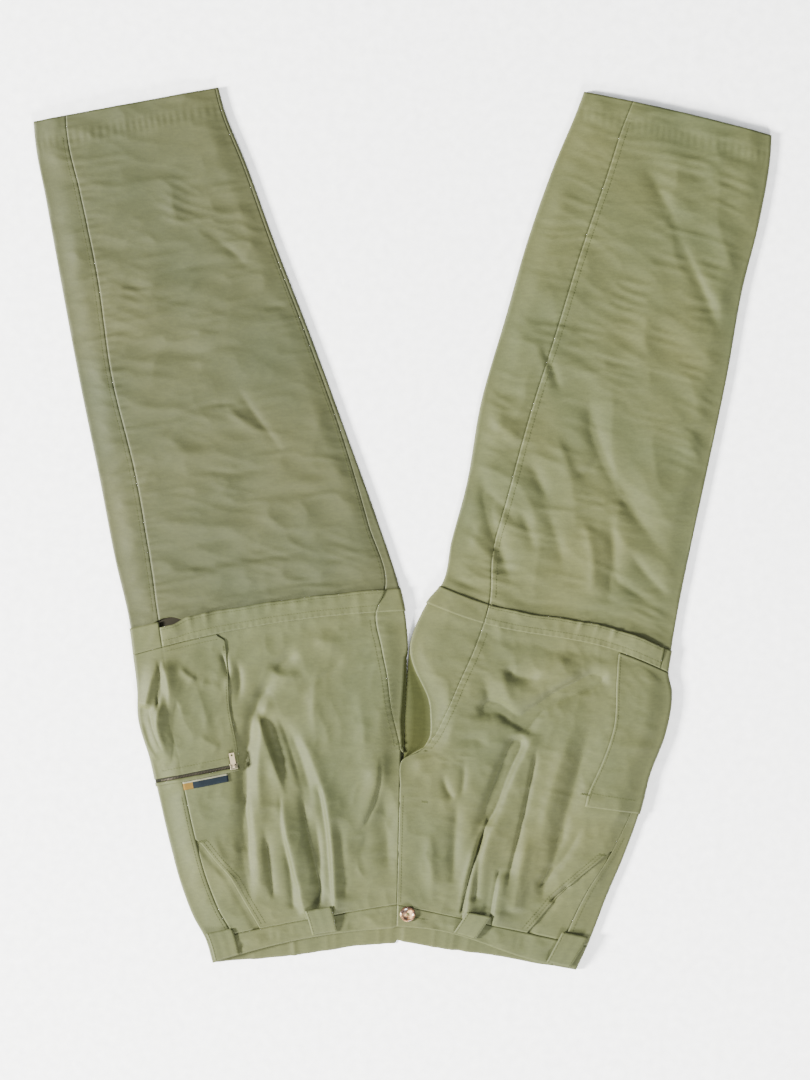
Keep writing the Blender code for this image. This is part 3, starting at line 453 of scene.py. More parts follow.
def top(side, run, u, out=0.0):
    """Points of the tube's upper layer."""
    run, u = np.broadcast_arrays(np.asarray(run, float), np.asarray(u, float))
    place = plan(side, run, u)
    length = width(side, run)
    x, y = place[..., 0], place[..., 1]
    inner_y = ends(side, run)[1][..., 1]
    joined = smooth((-259.0 - inner_y) / 45.0)
    outer_fade = smooth((u * length - TURN) / EDGE_FADE)
    inner_fade = smooth(((1.0 - u) * length - TURN) / EDGE_FADE)
    fade = outer_fade * (inner_fade + joined * (1.0 - inner_fade))
    folds = FOLD_GAIN * (relief(FOLDS, x, y) + relief(CREASES, x, y))
    folds = folds * np.where(run > side.waist, 0.0, 1.0)
    if side.sign > 0:
        folds = folds * (1.0 + (RIGHT_GAIN - 1.0) * smooth((run - side.flap[1]) / 30.0))
    folds = folds * (1.0 - 0.4 * smooth((run - side.waist + 14.0) / 14.0))
    height = np.maximum(np.interp(y, PUFF["y"], PUFF["height"]) + folds, LOWEST_RELIEF)
    knee = window(run, side.flap[0] - 10.0, side.flap[1] + 5.0, 22.0)
    height = height * (1.0 - knee) + KNEE_PUFF * knee
    lap = 0.0
    if side.sign > 0:
        lap = LAP_RISE * joined * (1.0 - smooth((1.0 - u) * length / LAP_WIDTH - 0.3))
    fine = crinkle(side, run, u * length) * (0.25 + 0.75 * fade) + seams(side, run, u, length)
    z = WALL / 2 + 2 * TURN + lift(side, run, u) + fade * height + lap + fine + out
    return np.concatenate([place, z[..., None]], -1)


def turn(side, run, inner_edge, angle, out=0.0):
    """Points where the cloth turns round an edge, from the top (0) to the bottom (pi)."""
    run = np.asarray(run, float)
    length = width(side, run)
    inset = TURN - (TURN + out) * math.sin(angle)
    u = inset / length
    if inner_edge:
        u = 1.0 - u
    place = plan(side, run, u)
    z = WALL / 2 + lift(side, run, u) + TURN + (TURN + out) * math.cos(angle)
    return np.concatenate([place, z[..., None]], -1)


def out_seam(side, run):
    return along(side.sections, "out_seam", run)


def in_seam(side, run):
    return along(side.sections, "in_seam", run)


def front_edge(side, run):
    """Outer boundary of the front: the side seam, then the slanting pocket mouth."""
    mouth = np.interp(run, side.mouth["run"], side.mouth["u"])
    return np.where(run > side.mouth["run"][0], mouth, out_seam(side, run))


TABLES = {}


def noise(a, b, seed):
    """Smooth random values from 0 to 1 over a plane."""
    if seed not in TABLES:
        TABLES[seed] = np.random.default_rng(seed).random((64, 64))
    grid = TABLES[seed]
    ia, ib = np.floor(a).astype(int), np.floor(b).astype(int)
    fa, fb = smooth(a - ia), smooth(b - ib)
    low = grid[ia % 64, ib % 64] * (1 - fb) + grid[ia % 64, (ib + 1) % 64] * fb
    high = grid[(ia + 1) % 64, ib % 64] * (1 - fb) + grid[(ia + 1) % 64, (ib + 1) % 64] * fb
    return low * (1 - fa) + high * fa


def ridges(a, b, seed):
    """Random crests with sharp tops, from 0 to 1."""
    return 1.0 - np.abs(2.0 * noise(a, b, seed) - 1.0)


def crinkle(side, run, across):
    """Fine creases of worn cotton: across the leg on the lower legs, softer on the seat."""
    leg = 1.0 - smooth((run - side.flap[0] + 20.0) / 40.0)
    amount, swell, seed = (1.0, 1.6, 11) if side.sign < 0 else (0.75, 2.6, 31)
    bend = 16.0 * noise(run / 55.0, across / 60.0, seed)

    def crests(weight, a, b, shift):
        return weight * (ridges(a, b, seed + shift) - 0.62)

    fine = crests(0.75, (run + bend) / 11.0, across / 42.0, 1)
    fine = fine + crests(0.55, (run + 0.35 * across + bend) / 17.0, across / 60.0, 2)
    fine = fine + crests(0.40, (run - 0.45 * across + bend) / 14.0, (across + run * 0.3) / 48.0, 3)
    patchy = 0.45 + 0.9 * noise(run / 70.0, across / 75.0, seed + 4)
    seat = crests(0.5, (run + bend) / 24.0, (across + bend) / 22.0, 5)
    seat = seat + crests(0.28, (run + bend) / 11.0, (across + 0.4 * run) / 15.0, 6)
    broad = ridges((run + 2.0 * bend) / 46.0, (across + 0.3 * run) / 52.0, seed + 7) - 0.6
    return leg * (2.1 * amount * patchy * fine + swell * broad) + (1.0 - leg) * (2.0 * seat + broad)


def pucker(run, distance, reach, height, pitch):
    """Gathered little waves that a seam draws into the cloth beside it."""
    wave = np.sin(2 * math.pi * run / pitch + 2.2 * np.sin(run / 19.0) + 1.6 * np.sin(run / 43.0 + 1.0))
    reach = np.where(distance < 0, reach, reach * 0.45)
    return height * wave * np.exp(-(distance / reach) ** 2)


def seams(side, run, u, length):
    """Grooves along the seams, and the puckers beside them."""
    inner = (u - in_seam(side, run)) * length
    outer = (out_seam(side, run) - u) * length
    leg = run < side.flap[0]
    sewn = leg | ((run > side.flap[1]) & (run < side.crotch))
    fine = np.where(sewn, pucker(run, inner, 9.0, 0.34, 7.5), 0.0)
    fine = fine - np.where(sewn, 0.25 * np.exp(-(inner / 1.3) ** 2), 0.0)
    if side.sign < 0:
        fine = fine + np.where(leg, pucker(run, outer, 12.0, 0.5, 9.0), 0.0)
        fine = fine - np.where(leg, 0.14 * np.exp(-((outer - 6.0) / 1.2) ** 2), 0.0)
        fine = fine - 0.2 * np.exp(-(outer / 1.3) ** 2)
    fine = fine - 0.4 * np.exp(-((run - 20.0) / 1.6) ** 2) + 0.25 * np.where(run < 20.0, 1.0, 0.0)
    wave = np.sin(2 * math.pi * u * length / 8.0 + 2.0 * np.sin(u * length / 21.0))
    return fine + 0.15 * wave * np.exp(-((run - 27.0) / 8.0) ** 2)


def feed(tree, node, inputs):
    """Give or link the inputs of a node."""
    for name, value in inputs.items():
        if isinstance(value, bpy.types.NodeSocket):
            tree.links.new(value, node.inputs[name])
        else:
            node.inputs[name].default_value = value


def add_node(tree, kind, inputs, **options):
    node = tree.nodes.new("ShaderNode" + kind)
    for name, value in options.items():
        setattr(node, name, value)
    feed(tree, node, inputs)
    return node


def add_ramp(tree, factor, *stops):
    """A colour ramp through stops of position, red, green and blue."""
    ramp = add_node(tree, "ValToRGB", {"Fac": factor})
    stages = ramp.color_ramp.elements
    for k, (position, *colour) in enumerate(stops):
        stage = stages[k] if k < 2 else stages.new(position)
        stage.position = position
        stage.color = (*colour, 1.0)
    return ramp.outputs["Color"]


def new_material(name):
    made = bpy.data.materials.new(name)
    made.use_nodes = True
    tree = made.node_tree
    place = add_node(tree, "TexCoord", {}).outputs["Object"]
    return made, tree, tree.nodes["Principled BSDF"], place


def material(name, colour, roughness=0.85, metallic=0.0):
    """A finish with a little unevenness in its colour."""
    made, tree, shader, place = new_material(name)
    spots = add_node(tree, "TexNoise", {"Vector": place, "Scale": 90.0})
    mix = add_node(tree, "Mix", {
        "Factor": spots.outputs["Fac"],
        "A": (*[c * 0.8 for c in colour], 1.0),
        "B": (*[min(1.0, c * 1.2) for c in colour], 1.0),
    }, data_type="RGBA")
    feed(tree, shader, {"Base Color": mix.outputs["Result"], "Roughness": roughness, "Metallic": metallic})
    if metallic == 0.0:
        feed(tree, shader, {"Specular IOR Level": 0.12})
    return made


COOL_SAGE = (0.0345, 0.0402, 0.0122)
WARM_SAGE = (0.0440, 0.0466, 0.0128)


def sage_cloth(name, light):
    """Washed cotton: patches of warmer and cooler green, a fine weave and faint wear."""
    made, tree, shader, place = new_material(name)
    patches = add_node(tree, "TexNoise", {"Vector": place, "Scale": 7.0, "Detail": 4.0})
    colour = add_ramp(tree, patches.outputs["Fac"], (0.32, *[c * light for c in COOL_SAGE]),
                      (0.68, *[c * light for c in WARM_SAGE]))
    squeeze = add_node(tree, "Mapping", {"Vector": place, "Scale": (160.0, 420.0, 160.0)})
    slubs = add_node(tree, "TexNoise", {"Vector": squeeze.outputs["Vector"], "Scale": 1.0, "Detail": 5.0})
    fleck = add_node(tree, "MapRange", {"Value": slubs.outputs["Fac"], "From Min": 0.3, "From Max": 0.7,
                                        "To Min": 0.90, "To Max": 1.10})
    shade = add_node(tree, "VectorMath", {0: colour, "Scale": fleck.outputs["Result"]}, operation="SCALE")
    weave = add_node(tree, "TexNoise", {"Vector": place, "Scale": 700.0, "Detail": 2.0})
    bump = add_node(tree, "Bump", {"Height": weave.outputs["Fac"], "Strength": 0.25, "Distance": 0.0004})
    feed(tree, shader, {"Base Color": shade.outputs["Vector"], "Normal": bump.outputs["Normal"],
                        "Roughness": 0.72, "Specular IOR Level": 0.3 if light > 0.6 else 0.05})
    return made


def tortoiseshell():
    made, tree, shader, place = new_material("tortoiseshell")
    blots = add_node(tree, "TexNoise", {"Vector": place, "Scale": 130.0, "Detail": 3.0})
    colour = add_ramp(tree, blots.outputs["Fac"], (0.40, 0.025, 0.010, 0.004), (0.66, 0.52, 0.36, 0.18),
                      (0.50, 0.13, 0.06, 0.025))
    feed(tree, shader, {"Base Color": colour, "Roughness": 0.22})
    return made


CLOTH = sage_cloth("sage_cotton", 1.06)
SHADED = sage_cloth("sage_cotton_left_leg", 0.76)
PALE = sage_cloth("sage_cotton_light", 1.04)
# Painted shade: a much darker copy of the cloth for the valley between the legs, which is dark there only
# from the shade that falls into it
VALLEY_SHADE = sage_cloth("sage_cotton_unfaded", 0.55)
TAPE = material("zip_tape", (0.010, 0.010, 0.006), 0.9)
KNEE_TAPE = material("knee_zip_tape", (0.014, 0.012, 0.007), 0.9)
THREAD = material("thread", (0.041, 0.046, 0.016), 0.8)
METAL = material("zip_metal", (0.16, 0.14, 0.09), 0.4, 0.8)
DARK_METAL = material("zip_teeth", (0.05, 0.04, 0.025), 0.45, 0.7)
BRASS = material("pull_brass", (0.24, 0.19, 0.115), 0.5, 0.2)
HORN = tortoiseshell()
NAVY = material("label_navy", (0.0025, 0.0055, 0.0085), 0.8)
MUSTARD = material("label_mustard", (0.085, 0.050, 0.008), 0.8)
BORDER = material("label_border", (0.13, 0.13, 0.085), 0.8)


def mesh_piece(name, points, faces, finishes, body="garment"):
    mesh = bpy.data.meshes.new(name)
    metres = (np.asarray(points, float) - (CENTRE_X, CENTRE_Y, 0.0)) * MM
    mesh.from_pydata(metres.tolist(), [], faces)
    for finish in finishes:
        mesh.materials.append(finish)
    mesh.update()
    piece = bpy.data.objects.new(name, mesh)
    bpy.context.scene.collection.objects.link(piece)
    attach(piece, body)
    return piece


def cut_size(grid):
    """Width, length and area, in metres, of the flat cut that a grid stands for."""
    across = np.linalg.norm(np.diff(grid, axis=1), axis=-1).sum(axis=1).max() * MM
    down = np.linalg.norm(np.diff(grid, axis=0), axis=-1).sum(axis=0).max() * MM
    one = np.cross(grid[1:, :-1] - grid[:-1, :-1], grid[:-1, 1:] - grid[:-1, :-1])
    two = np.cross(grid[1:, :-1] - grid[1:, 1:], grid[:-1, 1:] - grid[1:, 1:])
    area = (np.linalg.norm(one, axis=-1).sum() + np.linalg.norm(two, axis=-1).sum()) / 2 * MM * MM
    return across, down, area


def even_out(mesh, weld):
    """Weld points closer than weld, face one way and shade smooth."""
    shape = bmesh.new()
    shape.from_mesh(mesh)
    if weld > 0.0:
        bmesh.ops.remove_doubles(shape, verts=shape.verts, dist=weld)
    bmesh.ops.recalc_face_normals(shape, faces=shape.faces)
    shape.to_mesh(mesh)
    shape.free()
    mesh.shade_smooth()


def cloth(name, grids, finish, wall=WALL):
    """A thin shell of cloth through grids of points, in the place of the solid of its name."""
    points = []
    faces = []
    for grid in grids:
        rows, columns = grid.shape[:2]
        index = len(points) + np.arange(rows * columns).reshape(rows, columns)
        points += grid.reshape(-1, 3).tolist()
        quads = np.stack([index[:-1, :-1], index[:-1, 1:], index[1:, 1:], index[1:, :-1]], -1)
        faces += quads.reshape(-1, 4).tolist()
    piece = mesh_piece(name, points, faces, [finish])
    even_out(piece.data, 0.00003 if len(grids) > 1 else 0.0)
    skin = piece.modifiers.new("wall", "SOLIDIFY")
    skin.thickness = wall * MM
    skin.offset = 0.0
    node = name[:-len("_cloth")]
    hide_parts(node)
    across, down, area = zip(*[cut_size(grid) for grid in grids])
    across, down = sum(across), max(down)
    return piece


def span(side, rows, first, last, spacing, out=0.0, below=False):
    """Columns of the upper (or lower) layer from first to last, about spacing apart."""
    first = np.broadcast_to(np.asarray(first, float), rows.shape)
    last = np.broadcast_to(np.asarray(last, float), rows.shape)
    count = max(1, int(math.ceil(np.max(np.abs(last - first) * width(side, rows)) / spacing)))
    share = np.linspace(0.0, 1.0, count + 1)[None, :]
    u = first[:, None] * (1 - share) + last[:, None] * share
    run = rows[:, None]
    if below:
        points = bottom(side, run, u, out)
        points[..., 2] += under_relief(points[..., 0], points[..., 1], u, side, run)
        return points
    if rows[-1] <= side.zip[0]:
        run = run - gape(side, run, u)
    return top(side, run, u, out)


def under_relief(x, y, u, side, run):
    """Shallow folds of the hidden underside, which never go below what it rests on."""
    length = width(side, run)
    inside = smooth(u * length / 25.0 - 0.2) * smooth((1.0 - u) * length / 25.0 - 0.2)
    wave = ridges((y + 0.3 * x) / 26.0, (x - 0.2 * y) / 70.0, 71)
    wave = wave + ridges((y - 0.5 * x) / 40.0, x / 55.0, 72)
    return 0.9 * np.maximum(wave - 1.1, 0.0) * inside * window(run, 10.0, side.flap[0] - 40.0, 20.0)


def bends(side, rows, inner_edge, shares, out=0.0):
    return np.stack([turn(side, rows, inner_edge, math.pi * share, out) for share in shares], 1)


DOWN = (0.125, 0.25, 0.375, 0.5, 0.625, 0.75, 0.875)
UP = DOWN[::-1]


def join(*parts):
    """Blocks of columns side by side, dropping a column that repeats the last one."""
    grid = parts[0]
    for part in parts[1:]:
        if np.abs(part[:, 0] - grid[:, -1]).max() < 0.2:
            part = part[:, 1:]
        grid = np.concatenate([grid, part], 1)
    return grid


def fill_rows(start, end, keep=(), step=STEP):
    count = max(2, int(round((end - start) / step)))
    return np.unique(np.concatenate([np.linspace(start, end, count + 1), np.array(keep, float)]))


def gape(side, run, u):
    """How far the lower leg's end draws back from the knee flap near the outer seam."""
    if side.sign > 0:
        return 0.0 * u
    return 9.0 * smooth((run - 560.0) / 50.0) * np.exp(-(np.abs(u - 0.135) / 0.055) ** 3)


def front_panel(side, rows, first, last):
    """Front of a leg, which starts under the outer edge where first is below nought."""
    length = width(side, rows)
    if np.max(first) < 0:
        edge = TURN / length
        return join(span(side, rows, SEAM / length - first, edge, COARSE, below=True),
                    bends(side, rows, False, UP), span(side, rows, edge, last - SEAM / length, STEP))
    return span(side, rows, first + SEAM / length, last - SEAM / length, STEP)


def back_panel(side, rows, first, last, out=0.0):
    """Back of a leg: the strip inside the inner seam, round the inner edge and beneath."""
    length = width(side, rows)
    edge = TURN / length
    strip = span(side, rows, last + SEAM / length, 1.0 - edge, STEP, out)
    turned = bends(side, rows, True, DOWN, out)
    if np.max(first) < 0:
        under = span(side, rows, 1.0 - edge, SEAM / length - first, COARSE, out, below=True)
        return join(strip, turned, under)
    return join(strip, turned, span(side, rows, 1.0 - edge, edge, COARSE, out, below=True),
                bends(side, rows, False, UP, out), span(side, rows, edge, first - SEAM / length, STEP, out))


def flap_stand(side, run, u):
    reach = smooth((side.flap[1] - run) / (side.flap[1] - side.flap[0]))
    stand = 0.8 + 0.7 * np.sin(2 * math.pi * 2.6 * u + 0.7) ** 2 + 0.35 * np.sin(2 * math.pi * 11 * u) ** 2
    stand = stand + 3.2 * np.exp(-((u - 0.15) / 0.06) ** 2)
    for tuck in side.flap_tucks:
        stand = stand + 1.4 * np.exp(-((u - tuck) / 0.010) ** 2)
    return reach * stand


def leg_seams(side, rows):
    """Outer and inner boundaries of the front of a lower leg."""
    if side.leg_seam is None:
        return out_seam(side, rows), in_seam(side, rows)
    return np.full(rows.shape, side.leg_seam), in_seam(side, rows)


def build_leg(side):
    halves = (("front", front_panel), ("back", back_panel))
    rows = fill_rows(0.0, side.zip[0])
    finish = SHADED if side.sign < 0 else CLOTH
    for half, panel in halves:
        cloth("%s_leg_%s_cloth" % (side.name, half), [panel(side, rows, *leg_seams(side, rows))], finish)
    rows = np.linspace(side.zip[0] - ZIP_REACH, side.zip[1], 9)
    tucked = ZIP_SUNK * smooth((side.zip[0] + 3.0 - rows) / 4.0)[:, None]
    for half, panel in halves:
        grid = panel(side, rows, *leg_seams(side, rows))
        grid[..., 2] -= tucked * smooth(grid[..., 2] - UPPER_LAYER)
        drawn = ZIP_DRAWN_IN * smooth(UPPER_LAYER - grid[..., 2])[..., None] * (tucked[..., None] > 0.1)
        grid[..., :2] = grid[..., :2] * (1.0 - drawn) + grid.mean(axis=(0, 1))[:2] * drawn
        cloth("%s_knee_zip_%s_cloth" % (side.name, half), [grid], KNEE_TAPE, 0.6)


def flap_front(side):
    low, high = side.flap
    rows = np.linspace(low, high, 15)
    length = width(side, rows)
    first = out_seam(side, rows) + SEAM / length
    last = in_seam(side, rows) - SEAM / length
    share = np.linspace(0.0, 1.0, 120)[None, :]
    u = first[:, None] * (1 - share) + last[:, None] * share
    reach = (high - rows[:, None]) / (high - low)
    notch = side.flap_notch * (1.0 - smooth((u - 0.15) / 0.07)) * reach
    wobble = 0.5 * np.sin(2 * math.pi * u * 5.5) * reach
    grid = top(side, rows[:, None] + notch + wobble, u, LAYER)
    grid[..., 2] += flap_stand(side, rows[:, None], u)
    ripple = np.sin(2 * math.pi * u * length[:, None] / 7.0)
    grid[..., 2] += 0.25 * ripple * np.exp(-((high - rows[:, None]) / 6.0) ** 2)
    return grid


def build_flap(side):
    cloth(side.name + "_knee_flap_front_cloth", [flap_front(side)], PALE)
    rows = np.linspace(*side.flap, 13)
    grid = back_panel(side, rows, out_seam(side, rows), in_seam(side, rows), LAYER)
    cloth(side.name + "_knee_flap_back_cloth", [grid], PALE)


def build_seat(side):
    rows = fill_rows(side.zip[1] + GAP, side.waist - SEAM, (side.crotch, side.apex), FINE_STEP)
    length = width(side, rows)
    last = np.where(rows >= side.crotch, 1.0, in_seam(side, rows)) - SEAM / length
    first = front_edge(side, rows) + SEAM / length
    cloth(side.name + "_front_cloth", [span(side, rows, first, last, FINE_STEP)], PALE)
    piece = cloth(side.name + "_back_cloth", [back_seat(side, rows), fork(side, rows)], PALE)
    # The darker cloth goes on the faces low in the valley between the legs: painted shade
    piece.data.materials.append(VALLEY_SHADE)
    for face in piece.data.polygons:
        spot = face.center / MM
        if (VALLEY_Y[0] < spot.y < VALLEY_Y[1] and VALLEY_Z[0] < spot.z < VALLEY_Z[1]
                and abs(spot.x - VALLEY_X) < VALLEY_HALF):
            face.material_index = 1


def centre_gap(side, rows):
    return SEAM + 0.1 + 0.9 * (1.0 - smooth((rows - side.apex) / 45.0))


def apart(side, rows):
    """0 where the leg's inner edge is a closed turn, 1 where it falls open into the fork."""
    return smooth((rows - side.apex) / 16.0)[:, None]


def back_seat(side, rows):
    """Hidden back of the seat, from the middle out and round the outer edge to the side seam."""
    length = width(side, rows)
    below = width(side, rows, below=True)
    parted = apart(side, rows)
    edge = TURN / length
    columns = []
    for share, inset in ((0.5, 0.0), (0.625, 0.8), (0.75, 1.6), (0.875, 2.6), (1.0, 4.0)):
        turned = turn(side, rows, True, math.pi * share)
        flat = bottom(side, rows, 1.0 - (centre_gap(side, rows) + inset) / below)
        columns.append(turned + (flat - turned) * parted)
    start = 1.0 - edge + parted[:, 0] * (edge - (centre_gap(side, rows) + 4.0) / below)
    first = np.stack(columns, 1)
    return join(first, span(side, rows, start, edge, COARSE, below=True), bends(side, rows, False, UP),
                span(side, rows, edge, out_seam(side, rows) - SEAM / length, STEP))


def fork(side, rows):
    """The back's strip that shows inside the inner seam, falling into the valley between the legs."""
    rows = rows[rows <= side.crotch - 2.0]
    length = width(side, rows)
    parted = apart(side, rows)
    start = in_seam(side, rows) + SEAM / length
    shoulder = np.minimum(side.shoulder, 0.45 * (1.0 - start) * length)
    shoulder = TURN + (shoulder - TURN) * parted[:, 0]
    strip = span(side, rows, start, 1.0 - shoulder / length, STEP)
    crest = strip[:, -1]
    seam = bottom(side, rows, 1.0 - centre_gap(side, rows) / width(side, rows, below=True))
    seam[..., 2] = VALLEY_FLOOR
    reach = np.linalg.norm((seam - crest)[..., :2], axis=-1)
    columns = []
    for share in np.linspace(0.0625, 0.5, 10):
        turned = turn(side, rows, True, math.pi * share)
        drop = np.interp(share, (0.0, 0.125, 0.25, 0.375, 0.5), (0.0, 0.15, 0.5, 0.85, 1.0))
        sweep = np.interp(share, (0.0, 0.125, 0.25, 0.375), (0.0, 0.8, 1.6, 2.6))
        near = np.minimum(sweep / reach, share * 2)
        step = near if share <= 0.375 else near + (1.0 - near) * (share - 0.375) / 0.125
        slope = crest + (seam - crest) * step[:, None]
        slope[..., 2] = crest[..., 2] + (VALLEY_FLOOR - crest[..., 2]) * drop
        columns.append(turned + (slope - turned) * parted)
    grid = np.concatenate([strip, np.stack(columns, 1)], 1)
    count = grid.shape[1]
    begin = top(side, side.crotch - 0.3, 1.0 + 0.2 / width(side, np.array(side.crotch)))
    end_y = -262.0 if side.sign < 0 else -269.0
    end = np.array([centre_back(end_y) + side.sign * (SEAM + 0.4), end_y, begin[2]])
    hook = np.array([begin + (end - begin) * k / (count - 1) for k in range(count)])
    hook[..., 2] += 0.5 * np.sin(np.linspace(0, 3 * math.pi, count)) ** 2
    return np.concatenate([grid, hook[None]], 0)


def build_facing(side):
    rows = fill_rows(side.mouth["run"][0], side.waist - SEAM - 0.3)
    length = width(side, rows)
    start = out_seam(side, rows) + 2 * SEAM / length
    end = front_edge(side, rows) + FACING_HIDDEN / length
    grid = span(side, rows, start, end, STEP)
    share = np.linspace(0.0, 1.0, grid.shape[1])[None, :] * (end - start)[:, None] * length[:, None]
    mouth = (end - start)[:, None] * length[:, None] - FACING_HIDDEN
    grid[..., 2] -= FACING_SUNK * np.clip(smooth((share - mouth + 11.0) / 9.0) + 0.1, 0.0, 1.0)
    cloth(side.name + "_pocket_facing_cloth", [grid], CLOTH)


def normals(grid):
    down = np.gradient(grid, axis=0)
    across = np.gradient(grid, axis=1)
    normal = np.cross(across, down)
    normal /= np.maximum(np.linalg.norm(normal, axis=-1)[..., None], 1e-9)
    return normal if normal[normal.shape[0] // 2, -1, 2] > 0 else -normal


def pocket_grid(side, rows, edge, spacing=STEP):
    """Cloth below a cargo pocket, from under the outer edge up to the pocket's inner edge."""
    start = TURN / width(side, rows, below=True)
    under = span(side, rows, POCKET_UNDER, start, COARSE, below=True)
    over = span(side, rows, TURN / width(side, rows), edge, spacing)
    return join(under, bends(side, rows, False, UP), over)


def raised(grid, out, folds=None):
    lifted = grid + normals(grid) * out
    if folds is not None:
        extra = np.maximum(relief(folds, grid[..., 0], grid[..., 1]), 0.0)
        lifted[..., 2] += extra * smooth((grid[..., 2] - 4.0) / 2.0)
    return lifted


def build_left_pocket():
    side = LEFT
    low, high = side.pocket
    inner = side.pocket_edge[0]
    rows = fill_rows(low, ZIP_RUN - SEAM, (), POCKET_STEP)
    corner = 9.0 * smooth((652.0 - rows) / 10.0) / width(side, rows)
    patch = pocket_grid(side, rows, inner - corner, POCKET_STEP)
    cloth("left_cargo_pocket_cloth", [raised(patch, LAYER, POCKET_FOLDS)], PALE)
    rows = np.linspace(ZIP_RUN - 2.0, WELT_RUN - SEAM, 4)
    cloth("left_cargo_zip_cloth", [raised(pocket_grid(side, rows, inner - 0.008), 0.7)], TAPE, 0.3)
    rows = np.linspace(WELT_RUN + SEAM, high, 5)
    welt = raised(pocket_grid(side, rows, inner), LAYER)
    arch = 0.5 * np.sin(math.pi * np.linspace(0, 1, 5))
    welt[..., 2] += arch[:, None] * smooth((welt[..., 2] - 4.0) / 2.0)
    cloth("left_cargo_welt_cloth", [welt], PALE)
    rows = np.linspace(*LABEL_RUN, 6)
    label = raised(span(side, rows, *LABEL_PLACE, STEP), LAYER + 0.1)
    piece = cloth("left_cargo_label_cloth", [label], NAVY, 0.8)
    piece.data.materials.append(MUSTARD)
    piece.data.materials.append(BORDER)
    columns = label.shape[1] - 1
    for k, face in enumerate(piece.data.polygons):
        row, column = divmod(k, columns)
        face.material_index = 2 if row == 0 else (1 if column < columns * LABEL_END else 0)


def right_pocket_edge(run):
    share = (run - RIGHT.zip[1]) / (RIGHT.waist - RIGHT.zip[1])
    return RIGHT.pocket_edge[0] + (RIGHT.pocket_edge[1] - RIGHT.pocket_edge[0]) * share


def build_right_pocket():
    rows = fill_rows(*RIGHT.pocket)
    patch = pocket_grid(RIGHT, rows, right_pocket_edge(rows))
    cloth("right_cargo_pocket_cloth", [raised(patch, LAYER)], PALE)


def band_rows(side):
    return np.linspace(side.waist + SEAM, side.edge, 13)


def band_wave(side, rows, u, size):
    """Loose ripples of the waistband."""
    share = (rows - side.waist) / (side.edge - side.waist)
    wave = ridges(u * 9.0 + 3.0, share * 1.6 + 5.0, 91) - 0.5
    wave = wave + 0.5 * (ridges(u * 23.0, share * 2.0, 92) - 0.5)
    return size * wave * np.sin(math.pi * np.clip(share, 0, 1))


def band_front(side, last):
    """Front of the waistband, from the side seam to last millimetres off the middle."""
    rows = band_rows(side)
    length = width(side, rows)
    grid = span(side, rows, out_seam(side, rows) + SEAM / length, 1.0 - last / length, STEP)
    share = np.linspace(0.0, 1.0, grid.shape[1])[None, :]
    grid[..., 2] += band_wave(side, rows[:, None], share, 1.6) * smooth(share * 20) * smooth((1 - share) * 20)
    return grid


def build_waistband():
    rows = band_rows(RIGHT)
    under = span(RIGHT, rows, 1.0, 1.0 - UNDERLAP / width(RIGHT, rows), STEP, -LAYER - 0.2)
    cloth("waistband_left_front_cloth", [join(band_front(LEFT, 5.0), under)], CLOTH)
    cloth("waistband_right_front_cloth", [band_front(RIGHT, SEAM)], CLOTH)
    left, right = band_back_half(LEFT), band_back_half(RIGHT)
    middle = (left[:, -1:] + right[:, -1:]) / 2
    cloth("waistband_back_cloth", [np.concatenate([left[:, :-1], middle, right[:, -2::-1]], 1)], CLOTH)


def band_back_half(side):
    """Half of the waistband's back, gathered on its elastic."""
    rows = band_rows(side)
    length = width(side, rows)
    below = width(side, rows, below=True)
    strip = span(side, rows, out_seam(side, rows) - SEAM / length, TURN / length, STEP)
    share = np.linspace(0.0, 1.0, 150)[None, :]
    start = (TURN / below)[:, None]
    u = start * (1 - share) + share
    points = bottom(side, rows[:, None], u)
    depth = np.interp(rows, (rows[0], rows[3], rows[-3], rows[-1]), (0.25, 1.0, 1.0, 0.8))[:, None]
    seed = 95 if side.sign < 0 else 96
    gather = ridges(share * 17.0, np.zeros_like(share), seed)
    gather = gather * (0.4 + noise(share * 9.0, np.ones_like(share), seed + 2))
    points[..., 2] += 1.6 * depth * gather * smooth(share * 12) * smooth((1 - share) * 20)
    sag = 3.0 * noise(share * 5.0, np.zeros_like(share), seed + 4) - 1.0 + 1.2 * gather
    slack = np.interp(rows, (rows[0], rows[-1]), (0.0, 1.0))[:, None]
    points[..., 1] -= sag * slack * smooth(share * 6 - 0.5)
    return join(strip, bends(side, rows, False, DOWN), points)


def build_shield():
    """Strip behind the fly, from the left front under the right one."""
    rows = np.linspace(*SHIELD_RUN, 40)
    left, right = width(LEFT, rows), width(RIGHT, rows)
    over = span(LEFT, rows, 1.0 - SHIELD_OVER / left, 1.0 - 1.0 / left, STEP, -SUNK)
    under = span(RIGHT, rows, 1.0 - SHIELD_UNDER / 2 / right, 1.0 - SHIELD_UNDER / right, STEP, -SUNK - 0.2)
    cloth("fly_shield_cloth", [np.concatenate([over, under], 1)], CLOTH)


# Name, side, first and last place across, lean, and the runs where each loop starts and ends
LOOPS = (
    ("left_outer_belt_loop", LEFT, 0.014, 0.150, 0.0, 974.0, 1010.0),
    ("left_inner_belt_loop", LEFT, 0.530, 0.665, 0.02, 970.0, 1007.0),
    ("right_inner_belt_loop", RIGHT, 0.517, 0.640, 0.05, 970.0, 1003.0),
    ("right_outer_belt_loop", RIGHT, 0.014, 0.148, 0.02, 972.0, 1004.0),
)


